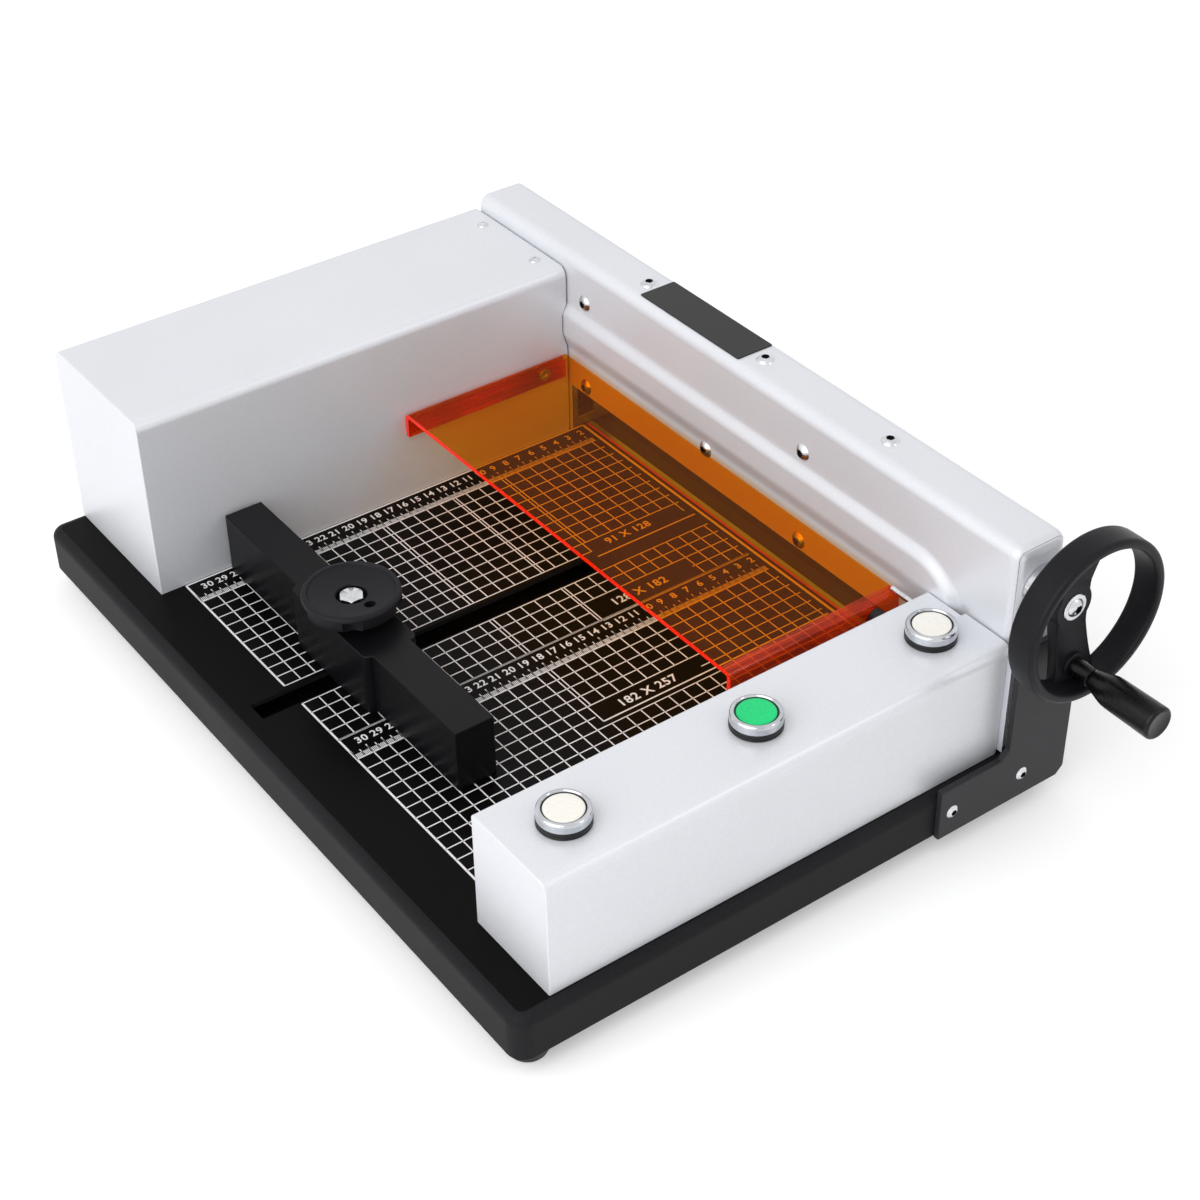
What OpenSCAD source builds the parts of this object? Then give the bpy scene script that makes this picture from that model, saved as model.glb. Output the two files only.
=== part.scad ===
// Electric paper cutter: a printed table with a knife beam across it, a tall drive housing at the
// back and a low button housing in front, a hinged see-through guard, a sliding gauge and a
// handwheel that lowers the paper clamp through a line shaft and two lead screws.
// Built in the table's frame: X = 0 is the cutting line, Y = 0 the fence, Z = 0 the table's top.
// The finished part is then moved so that its origin is the bottom centre of its box.

/* [Base] */
// From the cutting line to the base's left edge
table_reach = 351; // [330:1:420]
// Depth of the base's side below the table
base_h = 29; // [26:1:50]
// Thickness of the deck
deck_t = 3; // [2:0.5:5]
// Thickness of the base's side walls
base_wall = 3; // [2:0.5:5]
// Rounding of the base's top edges
base_edge_r = 6; // [4:0.5:9]
// Rounding of the base's upright corners
base_corner_r = 10; // [7:0.5:16]
// Thickness of the plate that closes the base below
bottom_t = 1.5; // [1:0.5:3]
// Height of a foot
foot_h = 12; // [6:1:25]
// Radius of a foot at its top
foot_r = 15; // [10:0.5:16]
// Radius of a foot at the floor
foot_tip_r = 10; // [7:0.5:10]
// From the base's edges to a foot's centre
foot_inset = 17; // [17:0.5:30]

/* [Housings] */
// Clear width between the two housings
throat_w = 345; // [320:1:400]
// Height of the rear housing
rear_housing_h = 122; // [115:1:128]
// Depth of the rear housing
rear_housing_d = 107; // [104:1:140]
// Height of the front housing
front_housing_h = 74; // [70:1:84]
// Depth of the front housing
front_housing_d = 64; // [62:1:90]
// Thickness of the housings' sheet
sheet_t = 1.5; // [1:0.25:2]
// Rounding of the housings' long top edges
housing_r = 7; // [4:0.5:10]
// Rounding of the front housing's top edge at the table
inner_edge_r = 2.5; // [2:0.5:4]
// From the base's left edge to the housings
side_margin = 24.5; // [10:0.5:30]
// From the front housing to the base's front edge
front_margin = 7; // [6:0.5:16]
// From the rear housing to the base's rear edge
rear_margin = 2; // [2:0.5:10]
// Seam between the housings and the beam
seam = 1; // [0.5:0.25:2]

/* [Knife beam] */
// From the cutting line to the beam's front face
beam_front = 21.5; // [21:0.5:24]
// From the cutting line to the beam's back face
beam_back = 14.5; // [14:0.5:17]
// From the beam's back face to the base's right edge
right_margin = 4.5; // [2:0.5:10]
// Height of the beam's top
beam_h = 132; // [132:1:150]
// Thickness of the beam's cover
beam_wall = 2; // [1.5:0.25:3]
// Rounding of the beam's edges
beam_r = 7; // [5:0.5:10]
// Height of the paper throat
throat_h = 36; // [34:0.5:37]
// From the base's front edge back to the beam's front end
beam_setback = 10; // [7:0.5:12]
// From the rear housing's rear face forward to the beam's rear end
beam_rear_gap = 8; // [0:0.5:9]
// Lower edge of the raised band on the beam's face
band_z0 = 68; // [66:0.5:72]
// Upper edge of the raised band
band_z1 = 95; // [88:0.5:96]
// How far the raised band stands out
band_proud = 4; // [2:0.25:5]
// From the front housing's inner face to the band's end
band_end = 27; // [10:1:40]
// Thickness of the L-shaped side plate
side_plate_t = 4; // [3:0.5:8]
// Length of the side plate's lower arm
side_plate_w = 95; // [85:1:120]
// Top of the side plate's upper arm
side_plate_z1 = 78; // [60:1:82]
// Top of the side plate's lower arm
side_plate_z0 = 5; // [2:0.5:10]
// Radius of the beam's screw heads
beam_screw_r = 5.5; // [4.5:0.25:6.5]

/* [Guard] */
// Height of the guard's top face over the table
guard_z = 62; // [58:0.5:63]
// Thickness of the guard's sheet
guard_t = 3; // [2:0.5:4]
// From the cutting line to the guard's free edge
guard_reach = 148; // [120:1:154]
// Depth of the guard's end flanges
guard_flange = 17; // [15:0.5:18]
// From the front housing to the guard
guard_gap = 19; // [16:0.5:30]
// From the cutting line to the guard's pivot
pivot_x = 45.5; // [43:0.5:50]
// Radius of the pivot screws
pivot_r = 3; // [2.5:0.25:4]

/* [Gauge] */
// From the cutting line to the gauge's centre
gauge_x = 267.5; // [262:0.5:280]
// Width of the gauge bar
gauge_w = 25; // [20:0.5:30]
// Height of the gauge bar
gauge_h = 41; // [36:0.5:41]
// Length of the gauge bar
gauge_len = 254; // [220:1:280]
// From the fence to the gauge's slot
slot_y = 132; // [125:1:140]
// Width of the slot
slot_w = 15; // [12:0.5:18]
// Radius of the gauge's knob
knob_r = 30; // [24:0.5:32]
// Radius of the gauge's clamping bolt
gauge_bolt_r = 4; // [3:0.25:5]

/* [Buttons] */
// From the front housing's left end to the first button
first_button = 33.5; // [24:0.5:60]
// From the last button to the front housing's right end
last_button = 29.5; // [24:0.5:60]
// Radius of the chrome bezel
bezel_r = 15.3; // [14:0.1:17]
// Radius of a button's cap
cap_r = 11.5; // [10.5:0.1:12]
// Radius of the panel hole
button_hole_r = 11.15; // [11.05:0.05:12]
// Travel of a button
button_travel = 3; // [2:0.25:3]

/* [Handwheel] */
// Outer radius of the handwheel
wheel_r = 49; // [48.5:0.5:54]
// Depth of the handwheel's rim
rim_depth = 18; // [16:0.5:24]
// Wall of the rim
rim_t = 6; // [5:0.5:6.5]
// Width of the two spokes
spoke_w = 24; // [18:0.5:30]
// Thickness of the spokes
spoke_t = 7; // [5:0.5:8]
// From the wheel's axis to the handle's axis
handle_reach = 36; // [32:0.5:36.5]
// Length of the handle's grip
grip_len = 47; // [40:1:75]
// Radius of the grip at its end
grip_r = 9.75; // [8:0.25:11]
// From the beam's top down to the wheel's axis
axis_drop = 27; // [26:0.5:28]
// Radius of the line shaft
shaft_r = 5; // [4:0.25:5]

/* [Knife and clamp] */
// Thickness of the knife
knife_t = 3; // [2.5:0.25:3]
// Height of the knife
knife_h = 46; // [42:1:48]
// Thickness of the knife carrier
carrier_t = 6; // [5:0.5:6]
// Module of the rack and pinion
gear_m = 2; // [2:0.05:2.1]
// Teeth of the drive pinion
pinion_teeth = 18; // [16:1:18]
// Teeth that the rack moves by in one cut
rack_steps = 6; // [5:1:6]
// Radius of the drive shaft
drive_r = 6; // [5:0.25:7]
// Thickness of the clamp bar
clamp_t = 12; // [10:0.5:12]
// Height of the clamp bar
clamp_h = 24; // [21:0.5:25]
// Travel of the clamp
clamp_travel = 36; // [30:0.5:36]
// Radius of the clamp's lead screws
lead_r = 4; // [3.5:0.25:4]
// Teeth of the bevel gears
bevel_teeth = 16; // [14:2:18]
// Module of the bevel gears
bevel_m = 1.25; // [1.15:0.05:1.3]
// Width of the cutting stick
stick_w = 10; // [8:0.5:12]
// Depth of the cutting stick
stick_h = 8; // [6:0.5:10]
// Thickness of the posts that guide the knife
post_t = 8; // [6:0.5:9]

/* [Clearances] */
// Radial clearance of a turning fit
run_fit = 0.05; // [0.02:0.01:0.1]
// Radial clearance of a screw in its hole
screw_fit = 0.1; // [0.05:0.05:0.2]
// Clearance of a sliding fit
slide_fit = 0.3; // [0.2:0.05:0.4]

/* [Hidden] */
$fn = 64;

// Plan of the table frame
x_left = -table_reach;
x_right = beam_back + right_margin;
y_in = -throat_w;
y_out = y_in - front_housing_d;
y_front = y_out - front_margin;
y_back = rear_housing_d;
y_rear = y_back + rear_margin;
z_floor = -base_h - foot_h;
housing_x0 = x_left + side_margin;
housing_x1 = -beam_front - seam;
feet = [for (x = [x_left + foot_inset, x_right - foot_inset],
             y = [y_front + foot_inset, y_rear - foot_inset]) [x, y]];
standoff_r = 6;
foot_screw_r = 2.5;
foot_head_h = 3;
foot_recess = 4;

// Beam and side plate
beam_y0 = y_front + beam_setback;
beam_y1 = y_back - beam_rear_gap;
bridge_z0 = beam_h - beam_wall - 14;
post_gap = 0.5;
post_x0 = -beam_front + beam_wall + post_gap;
post_x1 = beam_back - beam_wall - post_gap;
plate_y = y_front - side_plate_t;
face_clear = 5.5;
plate_inner_x = -beam_front - face_clear;
plate_bevel = 5;
plate_screws = [[x_right - side_plate_w + 9, -base_h / 2 + 2], [plate_inner_x + 12, -base_h / 2 + 2]];
plate_screw_r = 3;
plate_head_r = 5;
top_screw_y = [for (k = [0.182, 0.51, 0.826]) -k * throat_w];
strip_y = [for (k = [0.054, 0.417, 0.675]) -k * throat_w];
strip_w = 14;
strip_z1 = 112;
face_screws = [[strip_y[0], 42], [strip_y[0], 104], [strip_y[1], 59.5], [strip_y[2], 42], [strip_y[2], 104]];
beam_shank_r = 3;
band_slope = 5;
band_curve = 40;

// Handwheel, line shaft and handle
axis_x = (beam_back - beam_front) / 2;
axis_z = beam_h - axis_drop;
wheel_gap = 2;
wheel_back = plate_y - wheel_gap;
hub_r = 13;
hub_h = spoke_t + 2;
rim_back = hub_h;
spoke_rise = rim_back - 1;
rim_edge = 2.5;
wheel_washer_r = 8;
wheel_washer_h = 1.2;
handle_boss_r = 8;
handle_boss_z = rim_back + spoke_t - 1;
spindle_r = 3.5;
collar_r = 5.5;
collar_h = rim_back + rim_depth + 0.5 - handle_boss_z;
grip_neck = 14;
grip_edge = 2.5;
grip_z0 = handle_boss_z + collar_h + slide_fit;
grip_z1 = grip_z0 + grip_len;
bush_flange_r = 17;
bush_flange_t = 6;
bush_wall = 3;
bush_len = 15;
wheel_screw_r = 2.5;

// Box of the whole part, which sets the origin
x_max = max(x_right, axis_x + wheel_r);
y_min = wheel_back - grip_z1;
shift = [-(x_left + x_max) / 2, -(y_min + y_rear) / 2, -z_floor];

// Clamp, lead screws and bevel gears
clamp_x1 = -3;
clamp_x0 = clamp_x1 - clamp_t;
strip_x1 = clamp_x0 - slide_fit;
clamp_z0 = clamp_travel + 2;
clamp_z1 = clamp_z0 + clamp_h;
clamp_arm_z0 = clamp_z0 + 6;
clamp_arm_z1 = clamp_z1 - 2;
lead_off = 20;
lead_y = [y_in - post_t - lead_off, post_t + lead_off];
bevel_r = bevel_m * bevel_teeth / 2;
bevel_face = 0.4 * bevel_r;
bevel_hub_r = 0.55 * bevel_r;
bevel_hub_h = 6;
nut_r = lead_r + 2;
lead_foot_h = 6;
lead_block_h = 9;
lead_block_z1 = axis_z - bevel_r - bevel_hub_h - 1;
lead_block_half = lead_r + 2;
line_end_y = lead_y[1] - bevel_r + bevel_face;

// Knife, rack and pinion
pinion_r = gear_m * pinion_teeth / 2;
knife_travel = rack_steps * PI * gear_m;
knife_z = knife_travel + slide_fit;
carrier_x0 = knife_t;
carrier_x1 = knife_t + carrier_t;
carrier_z0 = knife_z + 14;
carrier_z1 = carrier_z0 + knife_h;
end_gap = 2;
arm_z0 = carrier_z0 + 14;
arm_z1 = axis_z - bevel_r - 3;
rack_back = 6;
rack_y = 54;
rack_root = rack_y - 1.2 * gear_m;
pinion_y = rack_y + pinion_r;
pinion_z = (arm_z0 + arm_z1) / 2 - 2;
rack_z0 = pinion_z - 4.5 * gear_m * PI / 2;
rack_z1 = pinion_z + knife_travel + 4.5 * gear_m * PI / 2;
knife_screw_y = [for (k = [0.1, 0.3, 0.5, 0.7, 0.9]) -k * throat_w];
knife_screw_z = carrier_z0 + 7;
knife_screw_r = 2.5;

// Drive
bracket_x = housing_x1 - 35;
bracket_t = 3;
gearbox_len = 70;
gearbox_half = 26;
motor_r = 31;
motor_len = 120;
motor_off = 14;
motor_cap_r = 12;
motor_cap_h = 8;
motor_x0 = bracket_x - gearbox_len - motor_len;
drive_x0 = bracket_x - gearbox_len / 2;
bracket_flange = 31;
bracket_y0 = 14;
bracket_y1 = y_back - housing_r - 1;
bracket_screw_x = bracket_x + 25;
bracket_screw_y = [0.19 * y_back, 0.745 * y_back];
small_screw_r = 2;
small_head_r = 3.8;

// Guard
guard_y1 = -0.8;
guard_y0 = y_in + guard_gap;
guard_x1 = -beam_front - face_clear;
pivot_head_r = pivot_r + 1.2;
pivot_head_h = 3;
pivot_z = guard_z - guard_t - pivot_head_r - slide_fit;
spacer_r = pivot_r + 2;
stop_r = 2;
stop_x = guard_x1 - 3;
stop_z = guard_z + stop_r + 2 * slide_fit;

// Gauge
gauge_y1 = -3.5;
gauge_lift = 0.2;
boss_w = gauge_w + 10;
boss_d = 84;
boss_r = 5;
slot_x0 = x_left + 16;
slot_x1 = -82;
washer_h = 1.2;
hub_z = gauge_h + washer_h + slide_fit;
knob_hub_r = 13;
knob_hub_h = 4;
knob_h = 10;
knob_dish = 3.5;
knob_lobes = 5;
knob_turn = -120;
knob_cut_r = 5.5;
hex_r = 7.5;
hex_h = 5;
knob_lip = 4;
knob_hole_r = 2.5;
knob_hole_at = 14;
knob_hole_a = -80;
dish_ball = (pow(knob_r - knob_lip, 2) + pow(knob_dish, 2)) / (2 * knob_dish);
nut_half = 12;
nut_z0 = -deck_t - 7;

// Buttons
button_y = (y_in + y_out) / 2;
first_x = housing_x0 + first_button;
last_x = housing_x1 - last_button;
button_x = [first_x, (first_x + last_x) / 2, last_x];
collar_t = 4;
collar_proud = 0.2;
bezel_h = 6;
bezel_z0 = front_housing_h + collar_t;
bezel_z1 = bezel_z0 + bezel_h;
bezel_in_r = cap_r + slide_fit;
body_r = button_hole_r - 0.15;
body_z0 = front_housing_h - 32;
body_z1 = bezel_z0 - button_travel + 1;
stem_r = 4;
cap_z0 = body_z1 + button_travel + slide_fit;
cap_z1 = max(bezel_z1 - 0.8, cap_z0 + 2);
stem_z0 = body_z1 - 10;
nut_ring_r = 14;
nut_ring_h = 5;

// Rear wall: mains inlet and power switch
inlet_off = 90;
inlet_x = housing_x0 + inlet_off;
inlet_z = 40;
inlet_w = 28;
inlet_h = 20;
inlet_depth = 18;
inlet_rim = 5;
switch_off = 45;
switch_x = housing_x0 + switch_off;
switch_wall = 1.5;
pin_r = 1.5;
switch_w = 14;
pin_half = switch_w / 2 - 0.8;
switch_h = 20;
switch_rim = 3;
rocker_tilt = 10;
rocker_proud = 1.4;
rocker_depth = 5;

// Control board
board_x0 = housing_x0 + 12;
board_w = 46;
board_y0 = 14;
board_d = 78;
board_z = 12;
board_t = 1.6;

// Helpers

module placed() translate(shift) children();

module box(lo, hi) translate(lo) cube(hi - lo);

// Rods along an axis; c is the pair of the other two coordinates
module rod_x(c, r, x0, x1) translate([x0, c[0], c[1]]) rotate([0, 90, 0]) cylinder(r = r, h = x1 - x0);
module rod_y(c, r, y0, y1) translate([c[0], y0, c[1]]) rotate([-90, 0, 0]) cylinder(r = r, h = y1 - y0);
module rod_z(c, r, z0, z1) translate([c[0], c[1], z0]) cylinder(r = r, h = z1 - z0);

// Outlines drawn in YZ, XZ and XY, drawn out along X, Y and Z
module along_x(x0, x1) translate([x0, 0, 0]) rotate([90, 0, 90]) linear_extrude(x1 - x0) children();
module along_y(y0, y1) translate([0, y1, 0]) rotate([90, 0, 0]) linear_extrude(y1 - y0) children();
module along_z(z0, z1) translate([0, 0, z0]) linear_extrude(z1 - z0) children();

module rect(lo, hi) translate(lo) square(hi - lo);

module round_rect(lo, hi, r) {
    rect([lo[0] + r, lo[1]], [hi[0] - r, hi[1]]);
    rect([lo[0], lo[1] + r], [hi[0], hi[1] - r]);
    for (u = [lo[0] + r, hi[0] - r], v = [lo[1] + r, hi[1] - r]) translate([u, v]) circle(r);
}

// A rectangle whose two upper corners are rounded
module round_top(lo, hi, r) {
    rect(lo, [hi[0], hi[1] - r]);
    rect([lo[0] + r, lo[1]], [hi[0] - r, hi[1]]);
    for (u = [lo[0] + r, hi[0] - r]) translate([u, hi[1] - r]) circle(r);
}

// A rectangle whose two upper corners are rounded, each by its own radius
module round_top_two(lo, hi, ra, rb) {
    rect(lo, [lo[0] + ra, hi[1] - ra]);
    rect([lo[0] + ra, lo[1]], [hi[0] - rb, hi[1]]);
    rect([hi[0] - rb, lo[1]], [hi[0], hi[1] - rb]);
    translate([lo[0] + ra, hi[1] - ra]) circle(ra);
    translate([hi[0] - rb, hi[1] - rb]) circle(rb);
}

// A block with rounded upright corners and rounded top edges
module soft_block(lo, hi, corner_r, edge_r) intersection() {
    along_z(lo[2], hi[2]) round_rect([lo[0], lo[1]], [hi[0], hi[1]], corner_r);
    along_y(lo[1], hi[1]) round_top([lo[0], lo[2]], [hi[0], hi[2]], edge_r);
    along_x(lo[0], hi[0]) round_top([lo[1], lo[2]], [hi[1], hi[2]], edge_r);
}

// A button-head screw that points down, its seat at the origin
module button_screw(head_r, shank_r, shank_len) {
    head_h = 0.48 * head_r;
    difference() {
        union() {
            rotate_extrude() intersection() {
                translate([0, head_h - head_r * 1.3]) circle(head_r * 1.3);
                square([head_r, head_h]);
            }
            translate([0, 0, -shank_len]) cylinder(r = shank_r, h = shank_len + 0.5);
        }
        translate([0, 0, head_h * 0.4]) cylinder(r = head_r * 0.42, h = head_h, $fn = 6);
    }
}

// Outline of a spur gear with straight flanks; a tooth points along +X
module gear_outline(m, teeth) {
    pitch = m * teeth / 2;
    tip = pitch + 0.9 * m;
    root = pitch - 1.2 * m;
    half = 0.44 * PI * m / 2;
    slope = tan(20);
    tip_a = (half - 0.9 * m * slope) / tip * 180 / PI;
    root_a = (half + 1.2 * m * slope) / root * 180 / PI;
    polygon([for (i = [0:teeth - 1], c = [[root, -root_a], [tip, -tip_a], [tip, tip_a], [root, root_a]])
        c[0] * [cos(i * 360 / teeth + c[1]), sin(i * 360 / teeth + c[1])]]);
}

// A straight mitre gear whose teeth run to the origin; it stands below it, its axis along Z
module hubbed_bevel_gear() {
    translate([0, 0, -bevel_r]) linear_extrude(bevel_face, scale = (bevel_r - bevel_face) / bevel_r)
        gear_outline(bevel_m, bevel_teeth);
    translate([0, 0, -bevel_r - bevel_hub_h]) cylinder(r = bevel_hub_r, h = bevel_hub_h + 0.5);
}

// Base

module base_tray() color("#2b2b2d") placed() {
    difference() {
        soft_block([x_left, y_front, -base_h], [x_right, y_rear, 0], base_corner_r, base_edge_r);
        along_z(-base_h - 1, -deck_t) round_rect([x_left + base_wall, y_front + base_wall],
            [x_right - base_wall, y_rear - base_wall], base_corner_r - base_wall);
        box([slot_x0, -slot_y - slot_w / 2, -deck_t - 1], [slot_x1, -slot_y + slot_w / 2, 1]);
        box([-stick_w / 2 + 1, y_in + end_gap, -deck_t - 1], [stick_w / 2 + 1, -end_gap, 1]);
        for (s = plate_screws)
            rod_y(s, plate_screw_r + screw_fit, y_front - 1, y_front + base_wall + 1);
    }
    for (f = feet) difference() {
        rod_z(f, standoff_r, -base_h + bottom_t, -deck_t);
        rod_z(f, foot_screw_r + screw_fit, -base_h, -base_h + bottom_t + 9);
    }
}

module bottom_plate() color("#333336") placed() difference() {
    along_z(-base_h, -base_h + bottom_t) round_rect(
        [x_left + base_wall + slide_fit, y_front + base_wall + slide_fit],
        [x_right - base_wall - slide_fit, y_rear - base_wall - slide_fit], base_corner_r - base_wall);
    for (f = feet) rod_z(f, foot_screw_r + screw_fit, -base_h - 1, 0);
}

module rubber_feet() color("#1c1c1d") placed() for (f = feet) translate([f[0], f[1], z_floor])
    difference() {
        cylinder(r1 = foot_tip_r, r2 = foot_r, h = foot_h);
        translate([0, 0, -1]) cylinder(r = foot_head_h + 2.5, h = foot_recess + 1);
        cylinder(r = foot_screw_r + screw_fit, h = foot_h + 1);
    }

module foot_screws() color("#b9bbbe") placed() for (f = feet) {
    rod_z(f, foot_screw_r, z_floor + foot_recess - 1, -base_h + bottom_t + 8);
    rod_z(f, foot_head_h + 2, z_floor + foot_recess - foot_head_h, z_floor + foot_recess);
}

module stick_channel() color("#8d9094") placed() {
    wall = 3;
    x0 = -stick_w / 2 + 1;
    x1 = stick_w / 2 + 1;
    difference() {
        box([x0 - wall, y_in, -stick_h - wall], [x1 + wall, 0, -deck_t]);
        box([x0, y_in + end_gap, -stick_h], [x1, -end_gap, 1]);
    }
}

module cutting_stick() color("#d9c9a3") placed()
    box([-stick_w / 2 + 1 + slide_fit / 2, y_in + end_gap + slide_fit, -stick_h],
        [stick_w / 2 + 1 - slide_fit / 2, -end_gap - slide_fit, 0]);

// Housings

// A folded sheet housing: closed at its left end, open below and towards the beam;
// back_r rounds its rear top edge, and notch_y is the length over which it makes room for the band
module sheet_housing(y0, y1, h, back_r, notch_y) difference() {
    along_x(housing_x0, housing_x1) round_top_two([y0, 0], [y1, h], housing_r, back_r);
    along_x(housing_x0 + sheet_t, housing_x1 + 1)
        round_top_two([y0 + sheet_t, -1], [y1 - sheet_t, h - sheet_t], housing_r - sheet_t,
            max(back_r - sheet_t, 0.25));
    box([-beam_front - band_proud - seam, notch_y[0], band_z0 - seam], [0, notch_y[1], band_z1 + seam]);
}

module rear_housing() color("#d7d9dd") placed() difference() {
    sheet_housing(0, y_back, rear_housing_h, housing_r, [-1, sheet_t + 1]);
    rod_y([-pivot_x, pivot_z], pivot_r + screw_fit, -1, sheet_t + 1);
    for (y = bracket_screw_y)
        rod_z([bracket_screw_x, y], small_screw_r + screw_fit, rear_housing_h - 3, rear_housing_h + 1);
    box([inlet_x - inlet_w / 2, y_back - 3, inlet_z - inlet_h / 2],
        [inlet_x + inlet_w / 2, y_back + 1, inlet_z + inlet_h / 2]);
    box([switch_x - switch_w / 2, y_back - 3, inlet_z - switch_h / 2],
        [switch_x + switch_w / 2, y_back + 1, inlet_z + switch_h / 2]);
}

module front_housing() color("#d7d9dd") placed() difference() {
    sheet_housing(y_out, y_in, front_housing_h, inner_edge_r, [y_in - band_end - seam, y_in + 1]);
    rod_y([-pivot_x, pivot_z], pivot_r + screw_fit, y_in - sheet_t - 1, y_in + 1);
    rod_y([stop_x, stop_z], stop_r + screw_fit, y_in - sheet_t - 1, y_in + 1);
    for (x = button_x) rod_z([x, button_y], button_hole_r, front_housing_h - 3, front_housing_h + 1);
}

module rear_housing_screws() color("#e8e9ea") placed() for (y = bracket_screw_y)
    translate([bracket_screw_x, y, rear_housing_h])
        button_screw(small_head_r, small_screw_r, sheet_t + bracket_t + 2);

// Knife beam

// The raised band, with a long curved end towards the front housing
module raised_band() intersection() {
    y0 = y_in - band_end;
    along_y(y0, y_back / 2) polygon([
        [-beam_front + 1, band_z0], [-beam_front, band_z0],
        [-beam_front - band_proud, band_z0 + band_slope], [-beam_front - band_proud, band_z1 - band_slope],
        [-beam_front, band_z1], [-beam_front + 1, band_z1]]);
    along_x(-beam_front - band_proud - 1, -beam_front + 1) {
        rect([y0 + band_curve, band_z0], [y_back / 2, band_z1]);
        intersection() {
            translate([y0 + band_curve, band_z1 - band_curve]) circle(band_curve);
            rect([y0, band_z0], [y0 + band_curve, band_z1]);
        }
    }
}

// The beam's block, drawn in on all sides by the inset; its rear end is cut off flat
module beam_block(inset, z0) intersection() {
    soft_block([-beam_front + inset, beam_y0 + inset, z0],
        [beam_back - inset, beam_y1 + 2 * beam_r, beam_h - inset], beam_r - inset, beam_r - inset);
    box([-beam_front, beam_y0, z0], [beam_back, beam_y1 - inset, beam_h]);
}

module beam_cover() color("#d7d9dd") placed() difference() {
    union() {
        beam_block(0, 0);
        raised_band();
    }
    beam_block(beam_wall, -1);
    box([-beam_front - band_proud - 1, y_in, -1], [beam_back + 1, 0, throat_h]);
    rod_y([axis_x, axis_z], shaft_r + bush_wall + screw_fit, beam_y0 - 1, beam_y0 + beam_wall + 1);
    rod_x([pinion_y, pinion_z], drive_r + 2, -beam_front - 1, -beam_front + beam_wall + 1);
    for (y = top_screw_y)
        rod_z([axis_x, y], beam_shank_r + screw_fit, beam_h - beam_wall - 1, beam_h + 1);
    for (s = face_screws)
        rod_x(s, beam_shank_r + screw_fit, -beam_front - band_proud - 1, -beam_front + beam_wall + 1);
}

module beam_bridge() color("#6d7075") placed() difference() {
    along_y(y_in - post_t, post_t)
        round_top([post_x0, bridge_z0], [post_x1, beam_h - beam_wall], beam_r - beam_wall);
    for (y = top_screw_y) rod_z([axis_x, y], beam_shank_r + screw_fit, bridge_z0 + 2, beam_h);
}

// An upright post with slots for the clamp's arm and for the knife carrier
module knife_post(y0) difference() {
    box([post_x0, y0, 0], [post_x1, y0 + post_t, bridge_z0]);
    box([clamp_x0 - slide_fit, y0 - 1, clamp_arm_z0 - clamp_travel - 1],
        [clamp_x1 + slide_fit, y0 + post_t + 1, clamp_arm_z1 + 1]);
    box([carrier_x0 - slide_fit, y0 - 1, carrier_z0 - knife_travel - 2],
        [carrier_x1 + slide_fit, y0 + post_t + 1, carrier_z1 + 1]);
    rod_y([axis_x, axis_z], shaft_r + bush_wall + screw_fit, y0 - 1, y0 + post_t + 1);
}

module front_post() color("#5c5f64") placed() knife_post(y_in - post_t);

module rear_post() color("#5c5f64") placed() knife_post(0);

module clamp_guide_strips() color("#b08d4a") placed() for (y = strip_y) difference() {
    box([-beam_front + beam_wall, y - strip_w / 2, throat_h + 1],
        [strip_x1, y + strip_w / 2, strip_z1]);
    for (s = face_screws)
        rod_x(s, beam_shank_r + screw_fit, -beam_front, clamp_x0);
}

module beam_screws() color("#e3e4e6") placed() {
    for (y = top_screw_y) translate([axis_x, y, beam_h])
        button_screw(beam_screw_r, beam_shank_r, beam_h - bridge_z0 - 3);
    for (s = face_screws) translate([-beam_front, s[0], s[1]]) rotate([0, -90, 0])
        button_screw(beam_screw_r, beam_shank_r, strip_x1 + beam_front - 0.5);
}

module side_plate() color("#1f1f21") placed() difference() {
    along_y(plate_y, y_front) polygon([
        [x_right - side_plate_w, -base_h], [x_right - plate_bevel, -base_h], [x_right, -base_h + plate_bevel],
        [x_right, side_plate_z1],
        [plate_inner_x, side_plate_z1], [plate_inner_x, side_plate_z0 + plate_bevel],
        [plate_inner_x - plate_bevel, side_plate_z0], [x_right - side_plate_w, side_plate_z0]]);
    for (s = plate_screws) rod_y(s, plate_screw_r + screw_fit, plate_y - 1, y_front + 1);
}

module side_plate_screws() color("#e3e4e6") placed() for (s = plate_screws)
    translate([s[0], plate_y, s[1]]) rotate([90, 0, 0])
        button_screw(plate_head_r, plate_screw_r, side_plate_t + base_wall + 4);

// Guard

module guard() color("#ff6a00", 0.6) placed() difference() {
    union() {
        box([-guard_reach, guard_y0, guard_z - guard_t], [guard_x1, guard_y1, guard_z]);
        for (y = [guard_y0, guard_y1 - guard_t])
            box([-guard_reach, y, guard_z - guard_flange], [guard_x1, y + guard_t, guard_z]);
    }
    rod_y([-pivot_x, pivot_z], pivot_r + run_fit, guard_y0 - 1, guard_y1 + 1);
}

// A pivot screw: its head sits on the flange's inner side, its shank runs to the housing's sheet
module pivot_screw(seat, end) {
    d = sign(end - seat);
    rod_y([-pivot_x, pivot_z], pivot_r, min(seat, end), max(seat, end));
    difference() {
        rod_y([-pivot_x, pivot_z], pivot_head_r, min(seat, seat - d * pivot_head_h),
            max(seat, seat - d * pivot_head_h));
        rod_y([-pivot_x, pivot_z], pivot_head_r * 0.45, min(seat - d * 2, seat - d * 5),
            max(seat - d * 2, seat - d * 5), $fn = 6);
    }
}

module guard_pivot_screws() color("#e3e4e6") placed() {
    pivot_screw(guard_y1 - guard_t - slide_fit, sheet_t + 4);
    pivot_screw(guard_y0 + guard_t + slide_fit, y_in - sheet_t - 4);
}

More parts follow.
